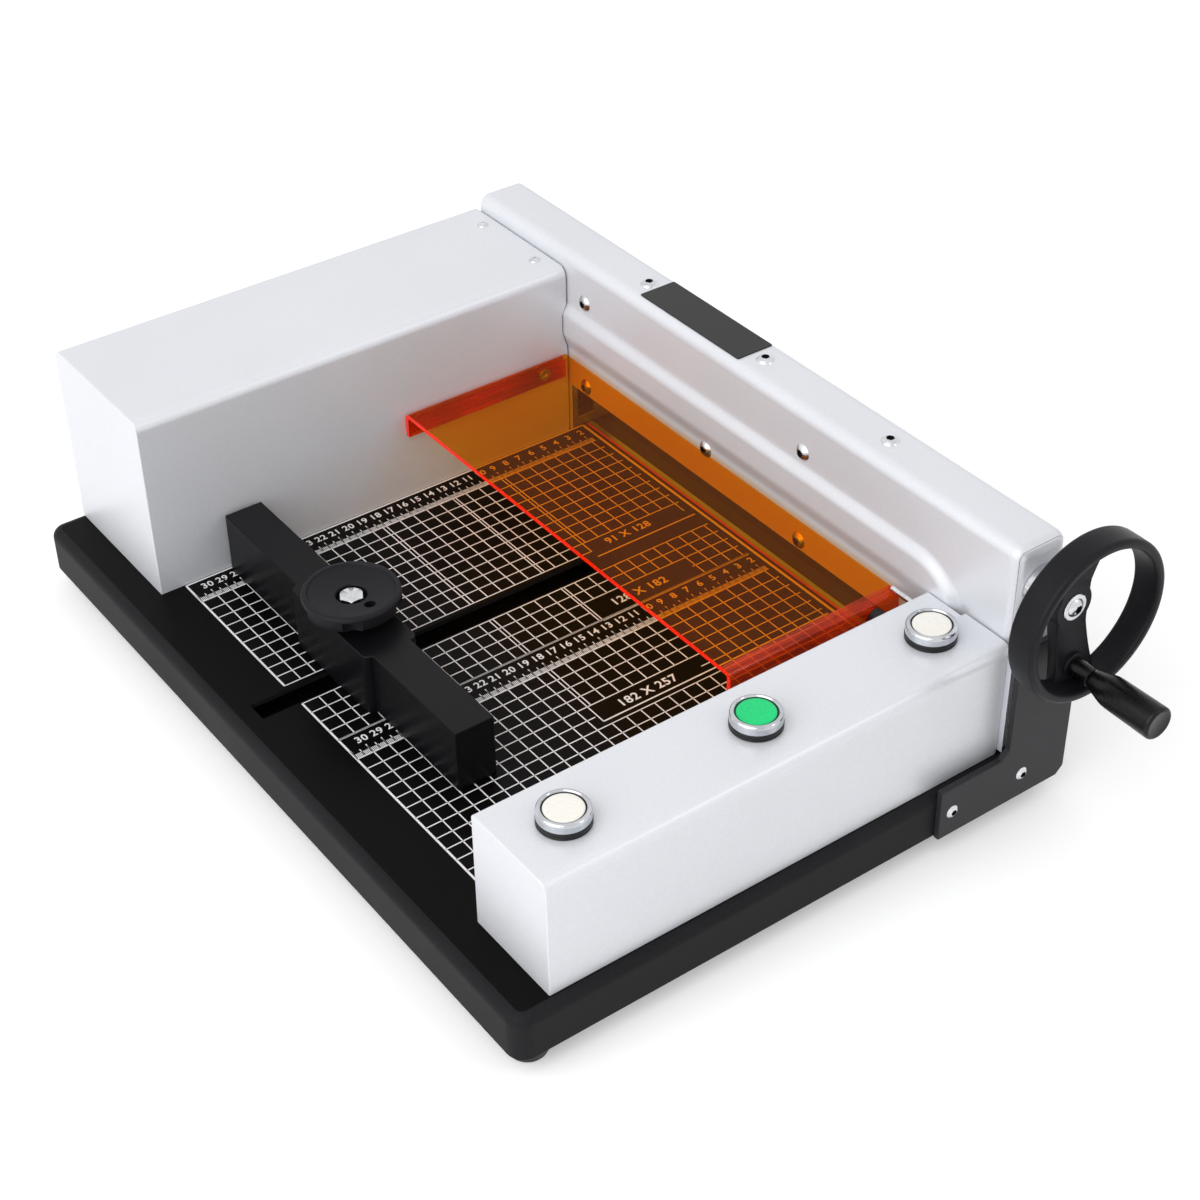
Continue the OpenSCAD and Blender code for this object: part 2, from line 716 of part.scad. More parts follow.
module guard_spacer() color("#e3e4e6") placed() difference() {
    rod_y([-pivot_x, pivot_z], spacer_r, y_in, guard_y0 - slide_fit);
    rod_y([-pivot_x, pivot_z], pivot_r + run_fit, y_in - 1, guard_y0);
}

module guard_stop_pin() color("#e3e4e6") placed()
    rod_y([stop_x, stop_z], stop_r, y_in - sheet_t - 1, guard_y0 + 3);

// Gauge

module gauge_bar() color("#1b1b1d") placed() difference() {
    union() {
        box([-gauge_x - gauge_w / 2, gauge_y1 - gauge_len, gauge_lift],
            [-gauge_x + gauge_w / 2, gauge_y1, gauge_h]);
        along_z(gauge_lift, gauge_h) round_rect([-gauge_x - boss_w / 2, -slot_y - boss_d / 2],
            [-gauge_x + boss_w / 2, -slot_y + boss_d / 2], boss_r);
    }
    rod_z([-gauge_x, -slot_y], gauge_bolt_r + slide_fit, -1, gauge_h + 1);
}

module gauge_t_nut() color("#9a9da1") placed() difference() {
    union() {
        box([-gauge_x - nut_half, -slot_y - nut_half, nut_z0],
            [-gauge_x + nut_half, -slot_y + nut_half, -deck_t - slide_fit]);
        box([-gauge_x - nut_half, -slot_y - slot_w / 2 + slide_fit, -deck_t - 1],
            [-gauge_x + nut_half, -slot_y + slot_w / 2 - slide_fit, -0.5]);
    }
    rod_z([-gauge_x, -slot_y], gauge_bolt_r + run_fit, nut_z0 - 1, 1);
}

module gauge_washer() color("#c4c6c9") placed() difference() {
    rod_z([-gauge_x, -slot_y], knob_hub_r, gauge_h, gauge_h + washer_h);
    rod_z([-gauge_x, -slot_y], gauge_bolt_r + slide_fit, gauge_h - 1, gauge_h + 3);
}

module gauge_knob() color("#2e2e31") placed() translate([-gauge_x, -slot_y, hub_z]) difference() {
    union() {
        cylinder(r = knob_hub_r, h = knob_hub_h + 1);
        translate([0, 0, knob_hub_h]) rotate_extrude() round_rect_half(knob_r, knob_h, 3);
    }
    translate([0, 0, knob_hub_h + knob_h + dish_ball - knob_dish]) sphere(r = dish_ball, $fn = 96);
    translate([0, 0, knob_hub_h + knob_h - knob_dish - hex_h]) cylinder(r = hex_r + 1.5, h = knob_h);
    translate([0, 0, -1]) cylinder(r = gauge_bolt_r + screw_fit, h = knob_h + knob_hub_h);
    for (i = [0:knob_lobes - 1]) rotate(knob_turn + i * 360 / knob_lobes)
        translate([knob_r + knob_cut_r - 2, 0, knob_hub_h - 1]) cylinder(r = knob_cut_r, h = knob_h * 0.55);
    rotate(knob_hole_a) translate([knob_hole_at, 0, knob_hub_h + 1]) cylinder(r = knob_hole_r, h = knob_h);
}

// Half outline of a disc with a rounded rim, for turning
module round_rect_half(r, h, edge) {
    square([r - edge, h]);
    translate([0, edge]) square([r, h - 2 * edge]);
    for (v = [edge, h - edge]) translate([r - edge, v]) circle(edge);
}

module gauge_bolt() color("#f0f0ee") placed() translate([-gauge_x, -slot_y, 0]) {
    seat = hub_z + knob_hub_h + knob_h - knob_dish - hex_h;
    translate([0, 0, seat]) cylinder(r = hex_r, h = hex_h, $fn = 6);
    translate([0, 0, nut_z0 + 1]) cylinder(r = gauge_bolt_r, h = seat - nut_z0);
}

// Buttons

module at_buttons() for (x = button_x) translate([x, button_y, 0]) children();

module ring(r_out, r_in, z0, z1) difference() {
    translate([0, 0, z0]) cylinder(r = r_out, h = z1 - z0);
    translate([0, 0, z0 - 1]) cylinder(r = r_in, h = z1 - z0 + 2);
}

module button_collars() color("#141416") placed() at_buttons() difference() {
    ring(bezel_r + collar_proud, body_r + screw_fit, front_housing_h, bezel_z0);
    translate([0, 0, body_z1]) cylinder(r = bezel_in_r, h = bezel_z0);
}

module button_bezels() color("#dfe1e4") placed() at_buttons() difference() {
    translate([0, 0, bezel_z0]) rotate_extrude() {
        square([bezel_r, bezel_h - 2]);
        square([bezel_r - 2, bezel_h]);
        translate([bezel_r - 2, bezel_h - 2]) circle(2);
    }
    translate([0, 0, bezel_z0 - 1]) cylinder(r = bezel_in_r, h = bezel_h + 2);
}

module button_bodies() color("#232326") placed() at_buttons() difference() {
    translate([0, 0, body_z0]) cylinder(r = body_r, h = body_z1 - body_z0);
    translate([0, 0, stem_z0 - button_travel - 1]) cylinder(r = stem_r + run_fit, h = front_housing_h);
}

module button_nuts() color("#232326") placed() at_buttons()
    ring(nut_ring_r, body_r + screw_fit, front_housing_h - sheet_t - nut_ring_h, front_housing_h - sheet_t);

module button_cap(i) translate([button_x[i], button_y, 0]) {
    translate([0, 0, cap_z0]) rotate_extrude() {
        edge = 0.8;
        square([cap_r, cap_z1 - cap_z0 - edge]);
        square([cap_r - edge, cap_z1 - cap_z0]);
        translate([cap_r - edge, cap_z1 - cap_z0 - edge]) circle(edge);
    }
    translate([0, 0, stem_z0]) cylinder(r = stem_r, h = cap_z0 - stem_z0 + 0.5);
}

module left_start_cap() color("#f4f2e6") placed() button_cap(0);

module reset_cap() color("#26e088") placed() button_cap(1);

module right_start_cap() color("#f4f2e6") placed() button_cap(2);

// Handwheel

// The wheel's own frame: its axis along Z, its back face at Z = 0, its front towards the operator
module wheel_frame() translate([axis_x, wheel_back, axis_z]) rotate([90, 0, 0]) children();

// One side's spoke, seen along the wheel's face: it rises from the hub to the rim
module spoke_profile() polygon([
    [0, rim_back - spoke_rise], [hub_r, rim_back - spoke_rise], [wheel_r - rim_t / 2, rim_back + 0.5],
    [wheel_r - rim_t / 2, rim_back + spoke_t], [hub_r, hub_h], [0, hub_h]]);

module handwheel() color("#1a1a1c") placed() wheel_frame() difference() {
    union() {
        rotate_extrude() round_rect([wheel_r - rim_t, rim_back], [wheel_r, rim_back + rim_depth], rim_edge);
        for (a = [0, 180]) rotate(a) along_x(-spoke_w / 2, spoke_w / 2) spoke_profile();
        cylinder(r = hub_r, h = hub_h);
        translate([0, -handle_reach, rim_back - spoke_t / 2])
            cylinder(r = handle_boss_r, h = handle_boss_z - rim_back + spoke_t / 2);
    }
    translate([0, 0, -1]) cylinder(r = shaft_r + screw_fit, h = spoke_t + 1);
    translate([0, 0, -1]) cylinder(r = wheel_screw_r + screw_fit, h = hub_h + 2);
    translate([0, -handle_reach, -1]) cylinder(r = spindle_r + screw_fit, h = handle_boss_z + 2);
}

module handwheel_screw() color("#e3e4e6") placed() wheel_frame() translate([0, 0, hub_h]) {
    translate([0, 0, wheel_washer_h]) button_screw(5.5, wheel_screw_r, wheel_washer_h + hub_h - spoke_t + 12);
    cylinder(r = wheel_washer_r, h = wheel_washer_h);
}

module line_shaft() color("#aeb1b5") placed() difference() {
    rod_y([axis_x, axis_z], shaft_r, wheel_back - spoke_t, line_end_y);
    rod_y([axis_x, axis_z], wheel_screw_r + screw_fit, wheel_back - spoke_t - 1, wheel_back + 8);
}

module shaft_bevel_gears() color("#8f8350") placed() for (y = lead_y) difference() {
    translate([axis_x, y, axis_z]) rotate([-90, 0, 0]) rotate(180 / bevel_teeth) hubbed_bevel_gear();
    rod_y([axis_x, axis_z], shaft_r + screw_fit / 2, y - bevel_r - bevel_hub_h - 1, y);
}

module shaft_bushes() color("#d8d9db") placed() difference() {
    union() {
        rod_y([axis_x, axis_z], bush_flange_r, beam_y0 - bush_flange_t, beam_y0);
        rod_y([axis_x, axis_z], shaft_r + bush_wall, beam_y0 - 0.5, beam_y0 + bush_len);
        for (y = [y_in - post_t, 0]) rod_y([axis_x, axis_z], shaft_r + bush_wall, y, y + post_t);
    }
    rod_y([axis_x, axis_z], shaft_r + run_fit, beam_y0 - bush_flange_t - 1, post_t + 1);
}

module handle_spindle() color("#3a3a3d") placed() wheel_frame() translate([0, -handle_reach, 0]) {
    translate([0, 0, rim_back - spoke_t / 2])
        cylinder(r = spindle_r, h = grip_z1 - 5 - rim_back + spoke_t / 2);
    translate([0, 0, handle_boss_z]) cylinder(r = collar_r, h = collar_h);
}

module handle_grip() color("#161618") placed() wheel_frame() translate([0, -handle_reach, grip_z0])
    difference() {
        union() {
            cylinder(r1 = collar_r, r2 = grip_r - 0.5, h = grip_neck);
            translate([0, 0, grip_neck - 0.01])
                cylinder(r1 = grip_r - 0.5, r2 = grip_r, h = grip_len - grip_neck - grip_edge + 0.01);
            translate([0, 0, grip_len - grip_edge])
                cylinder(r1 = grip_r, r2 = grip_r - grip_edge, h = grip_edge);
        }
        translate([0, 0, -1]) cylinder(r = spindle_r + run_fit, h = grip_len - 3.5);
    }

// Clamp

module lead_screw(y) {
    translate([axis_x, y, axis_z]) hubbed_bevel_gear();
    rod_z([axis_x, y], lead_r, 0.5, axis_z - bevel_r - bevel_hub_h + 0.5);
}

module front_lead_screw() color("#a9acb0") placed() lead_screw(lead_y[0]);

module rear_lead_screw() color("#a9acb0") placed() lead_screw(lead_y[1]);

module lead_screw_feet() color("#b08d4a") placed() for (y = lead_y) difference() {
    rod_z([axis_x, y], lead_r + 5, 0, lead_foot_h);
    rod_z([axis_x, y], lead_r + run_fit, -1, lead_foot_h + 1);
}

module lead_screw_blocks() color("#5c5f64") placed() for (i = [0, 1]) difference() {
    y_post = i == 0 ? y_in - post_t : post_t;
    y_far = lead_y[i] + (i == 0 ? -lead_block_half : lead_block_half);
    box([axis_x - lead_block_half, min(y_post, y_far), lead_block_z1 - lead_block_h],
        [axis_x + lead_block_half, max(y_post, y_far), lead_block_z1]);
    rod_z([axis_x, lead_y[i]], lead_r + run_fit, 0, lead_block_z1 + 1);
}

module clamp_bar() color("#7b7e83") placed() difference() {
    union() {
        box([clamp_x0, y_in + end_gap, clamp_z0], [clamp_x1, -end_gap, clamp_z1]);
        box([clamp_x0, lead_y[0] - nut_r - 4, clamp_arm_z0], [clamp_x1, lead_y[1] + nut_r + 4, clamp_arm_z1]);
        for (y = lead_y)
            box([clamp_x0, y - nut_r - 3, clamp_arm_z0], [knife_t - 0.5, y + nut_r + 3, clamp_arm_z1]);
    }
    for (y = lead_y) rod_z([axis_x, y], nut_r + screw_fit, clamp_z0, clamp_z1);
}

module clamp_nuts() color("#b08d4a") placed() for (y = lead_y) difference() {
    rod_z([axis_x, y], nut_r, clamp_arm_z0, clamp_arm_z1 + 3);
    rod_z([axis_x, y], lead_r + run_fit, 0, clamp_z1 + 9);
}

// Knife and its drive

module knife_carrier() color("#7b7e83") placed() difference() {
    union() {
        box([carrier_x0, y_in - post_t, carrier_z0], [carrier_x1, post_t, carrier_z1]);
        box([carrier_x0, 0, arm_z0], [carrier_x1, rack_root - rack_back, arm_z1]);
    }
    for (y = knife_screw_y) rod_x([y, knife_screw_z], knife_screw_r + screw_fit, 0, carrier_x1 + 1);
}

module knife_blade() color("#c9ccd0") placed() difference() {
    along_y(y_in + end_gap + 1, -end_gap - 1) polygon([
        [0, knife_z], [knife_t, knife_z + 2.5 * knife_t],
        [knife_t, knife_z + knife_h], [0, knife_z + knife_h]]);
    for (y = knife_screw_y) rod_x([y, knife_screw_z], knife_screw_r + screw_fit, 1, knife_t + 1);
}

module knife_screws() color("#3b3d41") placed() for (y = knife_screw_y)
    translate([carrier_x1, y, knife_screw_z]) rotate([0, 90, 0])
        button_screw(4, knife_screw_r, carrier_t + knife_t - 1.5);

module drive_rack() color("#8f9296") placed() {
    pitch = PI * gear_m;
    half = 0.44 * pitch / 2;
    slope = tan(20);
    first = ceil((rack_z0 - pinion_z) / pitch - 0.5) + 0.5;
    last = floor((rack_z1 - pinion_z) / pitch - 0.5) + 0.5;
    along_x(carrier_x0, carrier_x1) {
        rect([rack_root - rack_back, rack_z0], [rack_root, rack_z1]);
        for (i = [first:1:last]) translate([rack_y, pinion_z + i * pitch]) polygon([
            [-1.3 * gear_m, -half - 1.2 * gear_m * slope], [0.9 * gear_m, -half + 0.9 * gear_m * slope],
            [0.9 * gear_m, half - 0.9 * gear_m * slope], [-1.3 * gear_m, half + 1.2 * gear_m * slope]]);
    }
}

module drive_pinion() color("#8f8350") placed() difference() {
    along_x(carrier_x0, carrier_x1) translate([pinion_y, pinion_z]) rotate(180)
        gear_outline(gear_m, pinion_teeth);
    rod_x([pinion_y, pinion_z], drive_r + screw_fit / 2, 0, carrier_x1 + 1);
}

module drive_shaft() color("#aeb1b5") placed()
    rod_x([pinion_y, pinion_z], drive_r, drive_x0, carrier_x1 + 2);

module motor_bracket() color("#6d7075") placed() difference() {
    union() {
        box([bracket_x, bracket_y0, 0], [bracket_x + bracket_t, bracket_y1, rear_housing_h - sheet_t]);
        box([bracket_x, bracket_y0, rear_housing_h - sheet_t - bracket_t],
            [bracket_x + bracket_flange, bracket_y1, rear_housing_h - sheet_t]);
        box([bracket_x, bracket_y0, 0], [bracket_x + bracket_flange, bracket_y1, bracket_t]);
    }
    rod_x([pinion_y, pinion_z], drive_r + run_fit, bracket_x - 1, bracket_x + bracket_t + 1);
    for (y = bracket_screw_y)
        rod_z([bracket_screw_x, y], small_screw_r + screw_fit, rear_housing_h - 10, rear_housing_h);
}

module gearbox() color("#85888d") placed() difference() {
    box([bracket_x - gearbox_len, pinion_y - gearbox_half - 8, pinion_z - gearbox_half - 8],
        [bracket_x, bracket_y1, pinion_z + gearbox_half]);
    rod_x([pinion_y, pinion_z], drive_r + run_fit, drive_x0 - 1, bracket_x + 1);
}

module gear_motor() color("#3f4247") placed() {
    axis = [pinion_y - motor_off, pinion_z - motor_off];
    rod_x(axis, motor_r, motor_x0, bracket_x - gearbox_len);
    rod_x(axis, motor_cap_r, motor_x0 - motor_cap_h, motor_x0);
}

// Electrics

module control_board() color("#1f6b3a") placed() {
    x1 = board_x0 + board_w;
    top = board_z + board_t;
    box([board_x0, board_y0, board_z], [x1, board_y0 + board_d, top]);
    box([board_x0 + 6, board_y0 + 8, top], [x1 - 6, board_y0 + 40, top + 26]);
    for (x = [board_x0 + 5, board_x0 + 25])
        box([x, board_y0 + 46, top], [x + 16, board_y0 + 66, top + 15]);
    for (x = [board_x0 + 4, x1 - 4], y = [board_y0 + 4, board_y0 + board_d - 4])
        rod_z([x, y], 3, 0, board_z + 0.5);
}

module limit_switch() color("#19191b") placed() {
    x0 = axis_x + shaft_r + bush_wall + 0.7;
    box([x0, post_t, axis_z - 4], [x0 + 6, post_t + 9, axis_z + 10]);
    box([x0 + 1, post_t + 3, arm_z1 + 1], [x0 + 3, post_t + 8, axis_z - 4]);
}

module mains_inlet() color("#141416") placed() difference() {
    union() {
        box([inlet_x - inlet_w / 2 - inlet_rim, y_back, inlet_z - inlet_h / 2 - inlet_rim],
            [inlet_x + inlet_w / 2 + inlet_rim, y_rear, inlet_z + inlet_h / 2 + inlet_rim]);
        box([inlet_x - inlet_w / 2 + screw_fit, y_back - inlet_depth, inlet_z - inlet_h / 2 + screw_fit],
            [inlet_x + inlet_w / 2 - screw_fit, y_back + 0.5, inlet_z + inlet_h / 2 - screw_fit]);
    }
    difference() {
        box([inlet_x - inlet_w / 2 + 2, y_back - inlet_depth + 2, inlet_z - inlet_h / 2 + 2],
            [inlet_x + inlet_w / 2 - 2, y_rear + 1, inlet_z + inlet_h / 2 - 2]);
        for (p = [[-7, -2], [0, 2], [7, -2]])
            box([inlet_x + p[0] - 1, y_back - inlet_depth, inlet_z + p[1] - 2],
                [inlet_x + p[0] + 1, y_back - 7, inlet_z + p[1] + 2]);
    }
}

module switch_frame() color("#141416") placed() difference() {
    union() {
        box([switch_x - switch_w / 2 - switch_rim, y_back, inlet_z - switch_h / 2 - switch_rim],
            [switch_x + switch_w / 2 + switch_rim, y_back + 1, inlet_z + switch_h / 2 + switch_rim]);
        box([switch_x - switch_w / 2 + screw_fit, y_back - 14, inlet_z - switch_h / 2 + screw_fit],
            [switch_x + switch_w / 2 - screw_fit, y_back + 0.5, inlet_z + switch_h / 2 - screw_fit]);
    }
    box([switch_x - switch_w / 2 + switch_wall, y_back - 12, inlet_z - switch_h / 2 + switch_wall],
        [switch_x + switch_w / 2 - switch_wall, y_back + 2, inlet_z + switch_h / 2 - switch_wall]);
    rod_x([y_back - rocker_depth, inlet_z], pin_r + run_fit,
        switch_x - pin_half - 0.2, switch_x + pin_half + 0.2);
}

// A rocker with two facets on two stub pins; at rest its lower half is pressed in
module power_rocker() color("#232326") placed() {
    rod_x([y_back - rocker_depth, inlet_z], pin_r, switch_x - pin_half, switch_x + pin_half);
    along_x(switch_x - switch_w / 2 + switch_wall + 0.5, switch_x + switch_w / 2 - switch_wall - 0.5)
        translate([y_back - rocker_depth, inlet_z]) rotate(rocker_tilt / 2) {
            half = switch_h / 2 - 2.5;
            tip = rocker_depth + rocker_proud - half * tan(rocker_tilt / 2);
            polygon([[-pin_r, -half], [tip, -half], [rocker_depth + rocker_proud - 1, 0],
                [tip, half], [-pin_r, half]]);
        }
}

base_tray();
bottom_plate();
rubber_feet();
foot_screws();
rear_housing();
front_housing();
rear_housing_screws();
beam_cover();
beam_bridge();
front_post();
rear_post();
beam_screws();
clamp_guide_strips();
side_plate();
side_plate_screws();
cutting_stick();
stick_channel();
guard();
guard_pivot_screws();
guard_spacer();
guard_stop_pin();
gauge_bar();
gauge_t_nut();
gauge_washer();
gauge_knob();
gauge_bolt();
button_collars();
button_bezels();
button_bodies();
button_nuts();
left_start_cap();
reset_cap();
right_start_cap();
handwheel();
handwheel_screw();
line_shaft();
shaft_bevel_gears();
shaft_bushes();
handle_spindle();
handle_grip();
front_lead_screw();
rear_lead_screw();
lead_screw_feet();
lead_screw_blocks();
clamp_bar();
clamp_nuts();
knife_carrier();
knife_blade();
knife_screws();
drive_rack();
drive_pinion();
drive_shaft();
gearbox();
gear_motor();
motor_bracket();
control_board();
limit_switch();
mains_inlet();
switch_frame();
power_rocker();
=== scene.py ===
"""Looks of an electric paper cutter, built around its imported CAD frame."""

import math

import bmesh
import bpy
from mathutils import Matrix, Vector


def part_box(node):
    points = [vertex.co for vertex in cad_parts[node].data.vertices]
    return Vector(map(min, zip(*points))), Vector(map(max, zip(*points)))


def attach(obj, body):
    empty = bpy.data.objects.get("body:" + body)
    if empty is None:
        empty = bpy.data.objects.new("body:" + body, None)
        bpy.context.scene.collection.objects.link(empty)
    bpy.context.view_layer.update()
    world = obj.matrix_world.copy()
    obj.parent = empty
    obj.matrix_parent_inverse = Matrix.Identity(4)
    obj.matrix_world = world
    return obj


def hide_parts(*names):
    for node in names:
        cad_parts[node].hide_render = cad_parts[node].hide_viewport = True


bl_info = {
    "name": "Electric paper cutter",
    "version": (1, 0, 0),
    "blender": (4, 5, 0),
    "location": "View3D > Sidebar > Cutter",
    "description": "Dresses the CAD frame of an electric paper cutter",
    "category": "Object",
}

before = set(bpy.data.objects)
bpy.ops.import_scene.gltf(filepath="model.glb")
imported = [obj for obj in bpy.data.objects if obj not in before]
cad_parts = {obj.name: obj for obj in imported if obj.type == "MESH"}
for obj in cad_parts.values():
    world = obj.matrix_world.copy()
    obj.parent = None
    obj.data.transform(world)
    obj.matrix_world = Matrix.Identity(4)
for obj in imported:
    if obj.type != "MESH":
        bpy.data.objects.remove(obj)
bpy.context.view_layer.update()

# Lengths below are millimetres in the table's own frame: X = 0 is the cutting line,
# Y = 0 the fence in front of the rear housing, Z = 0 the top of the table.
MM = 0.001
# Where the print ends at the front housing, and the beam's face towards the table
TABLE_FRONT = -344.4
BEAM_FACE = -21.5
ORIGIN = Vector((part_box("knife_blade")[0].x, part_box("rear_housing")[0].y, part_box("base_tray")[1].z))
TO_FRAME = Matrix.Translation(ORIGIN) @ Matrix.Scale(MM, 4)


def span(node):
    """Lowest and highest corner of a CAD node, in millimetres in the table's frame."""
    return [(corner - ORIGIN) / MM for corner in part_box(node)]


def middle(node):
    """Middle of a CAD node's box, in millimetres in the table's frame."""
    low, high = span(node)
    return (low + high) / 2


def linear(code):
    """Linear colour of an sRGB hex code such as #e3e4ea."""
    parts = [int(code[i:i + 2], 16) / 255 for i in (1, 3, 5)]
    return [c / 12.92 if c <= 0.04045 else ((c + 0.055) / 1.055) ** 2.4 for c in parts] + [1.0]


def add_node(tree, kind, inputs=None, **settings):
    """Adds a node with its settings; an input is a value, or an output that is linked to it."""
    node = tree.nodes.new(kind)
    for key, value in settings.items():
        setattr(node, key, value)
    for key, value in (inputs or {}).items():
        if isinstance(value, bpy.types.NodeSocket):
            tree.links.new(value, node.inputs[key])
        else:
            node.inputs[key].default_value = value
    return node


# Finishes


def finish(name, dark, light, rough, grain, relief, cloud, stretch=(1, 1, 1), shine=0.5, **sockets):
    """A finish whose colour, gloss and relief follow a fine grain and a broad cloud, both in millimetres."""
    material = bpy.data.materials.new(name)
    material.use_nodes = True
    tree = material.node_tree
    tree.nodes.clear()
    where = add_node(tree, "ShaderNodeTexCoord")
    along = add_node(tree, "ShaderNodeMapping", {"Vector": where.outputs["Object"], "Scale": stretch})
    fine = add_node(tree, "ShaderNodeTexNoise", {
        "Vector": along.outputs["Vector"], "Scale": 1 / (grain * MM), "Detail": 3.0})
    broad = add_node(tree, "ShaderNodeTexNoise", {
        "Vector": where.outputs["Object"], "Scale": 1 / (cloud * MM), "Detail": 2.0})
    both = add_node(tree, "ShaderNodeMix", {
        0: 0.45, 2: fine.outputs["Fac"], 3: broad.outputs["Fac"]}, data_type="FLOAT")
    tone = add_node(tree, "ShaderNodeValToRGB", {"Fac": both.outputs[0]})
    # The noise seldom leaves this range, so the whole of each tone and gloss is used
    least, most = 0.36, 0.64
    for stop, place, colour in zip(tone.color_ramp.elements, (least, most), (dark, light)):
        stop.position = place
        stop.color = linear(colour)
    gloss = add_node(tree, "ShaderNodeMapRange", {
        "Value": both.outputs[0], "From Min": least, "From Max": most, "To Min": rough[0], "To Max": rough[1]})
    bump = add_node(tree, "ShaderNodeBump", {
        "Height": fine.outputs["Fac"], "Strength": 0.6, "Distance": relief * MM})
    shader = add_node(tree, "ShaderNodeBsdfPrincipled", {
        "Base Color": tone.outputs["Color"], "Roughness": gloss.outputs["Result"],
        "Normal": bump.outputs["Normal"], "Specular IOR Level": shine, **sockets})
    add_node(tree, "ShaderNodeOutputMaterial", {"Surface": shader.outputs["BSDF"]})
    return material


FINISHES = {}


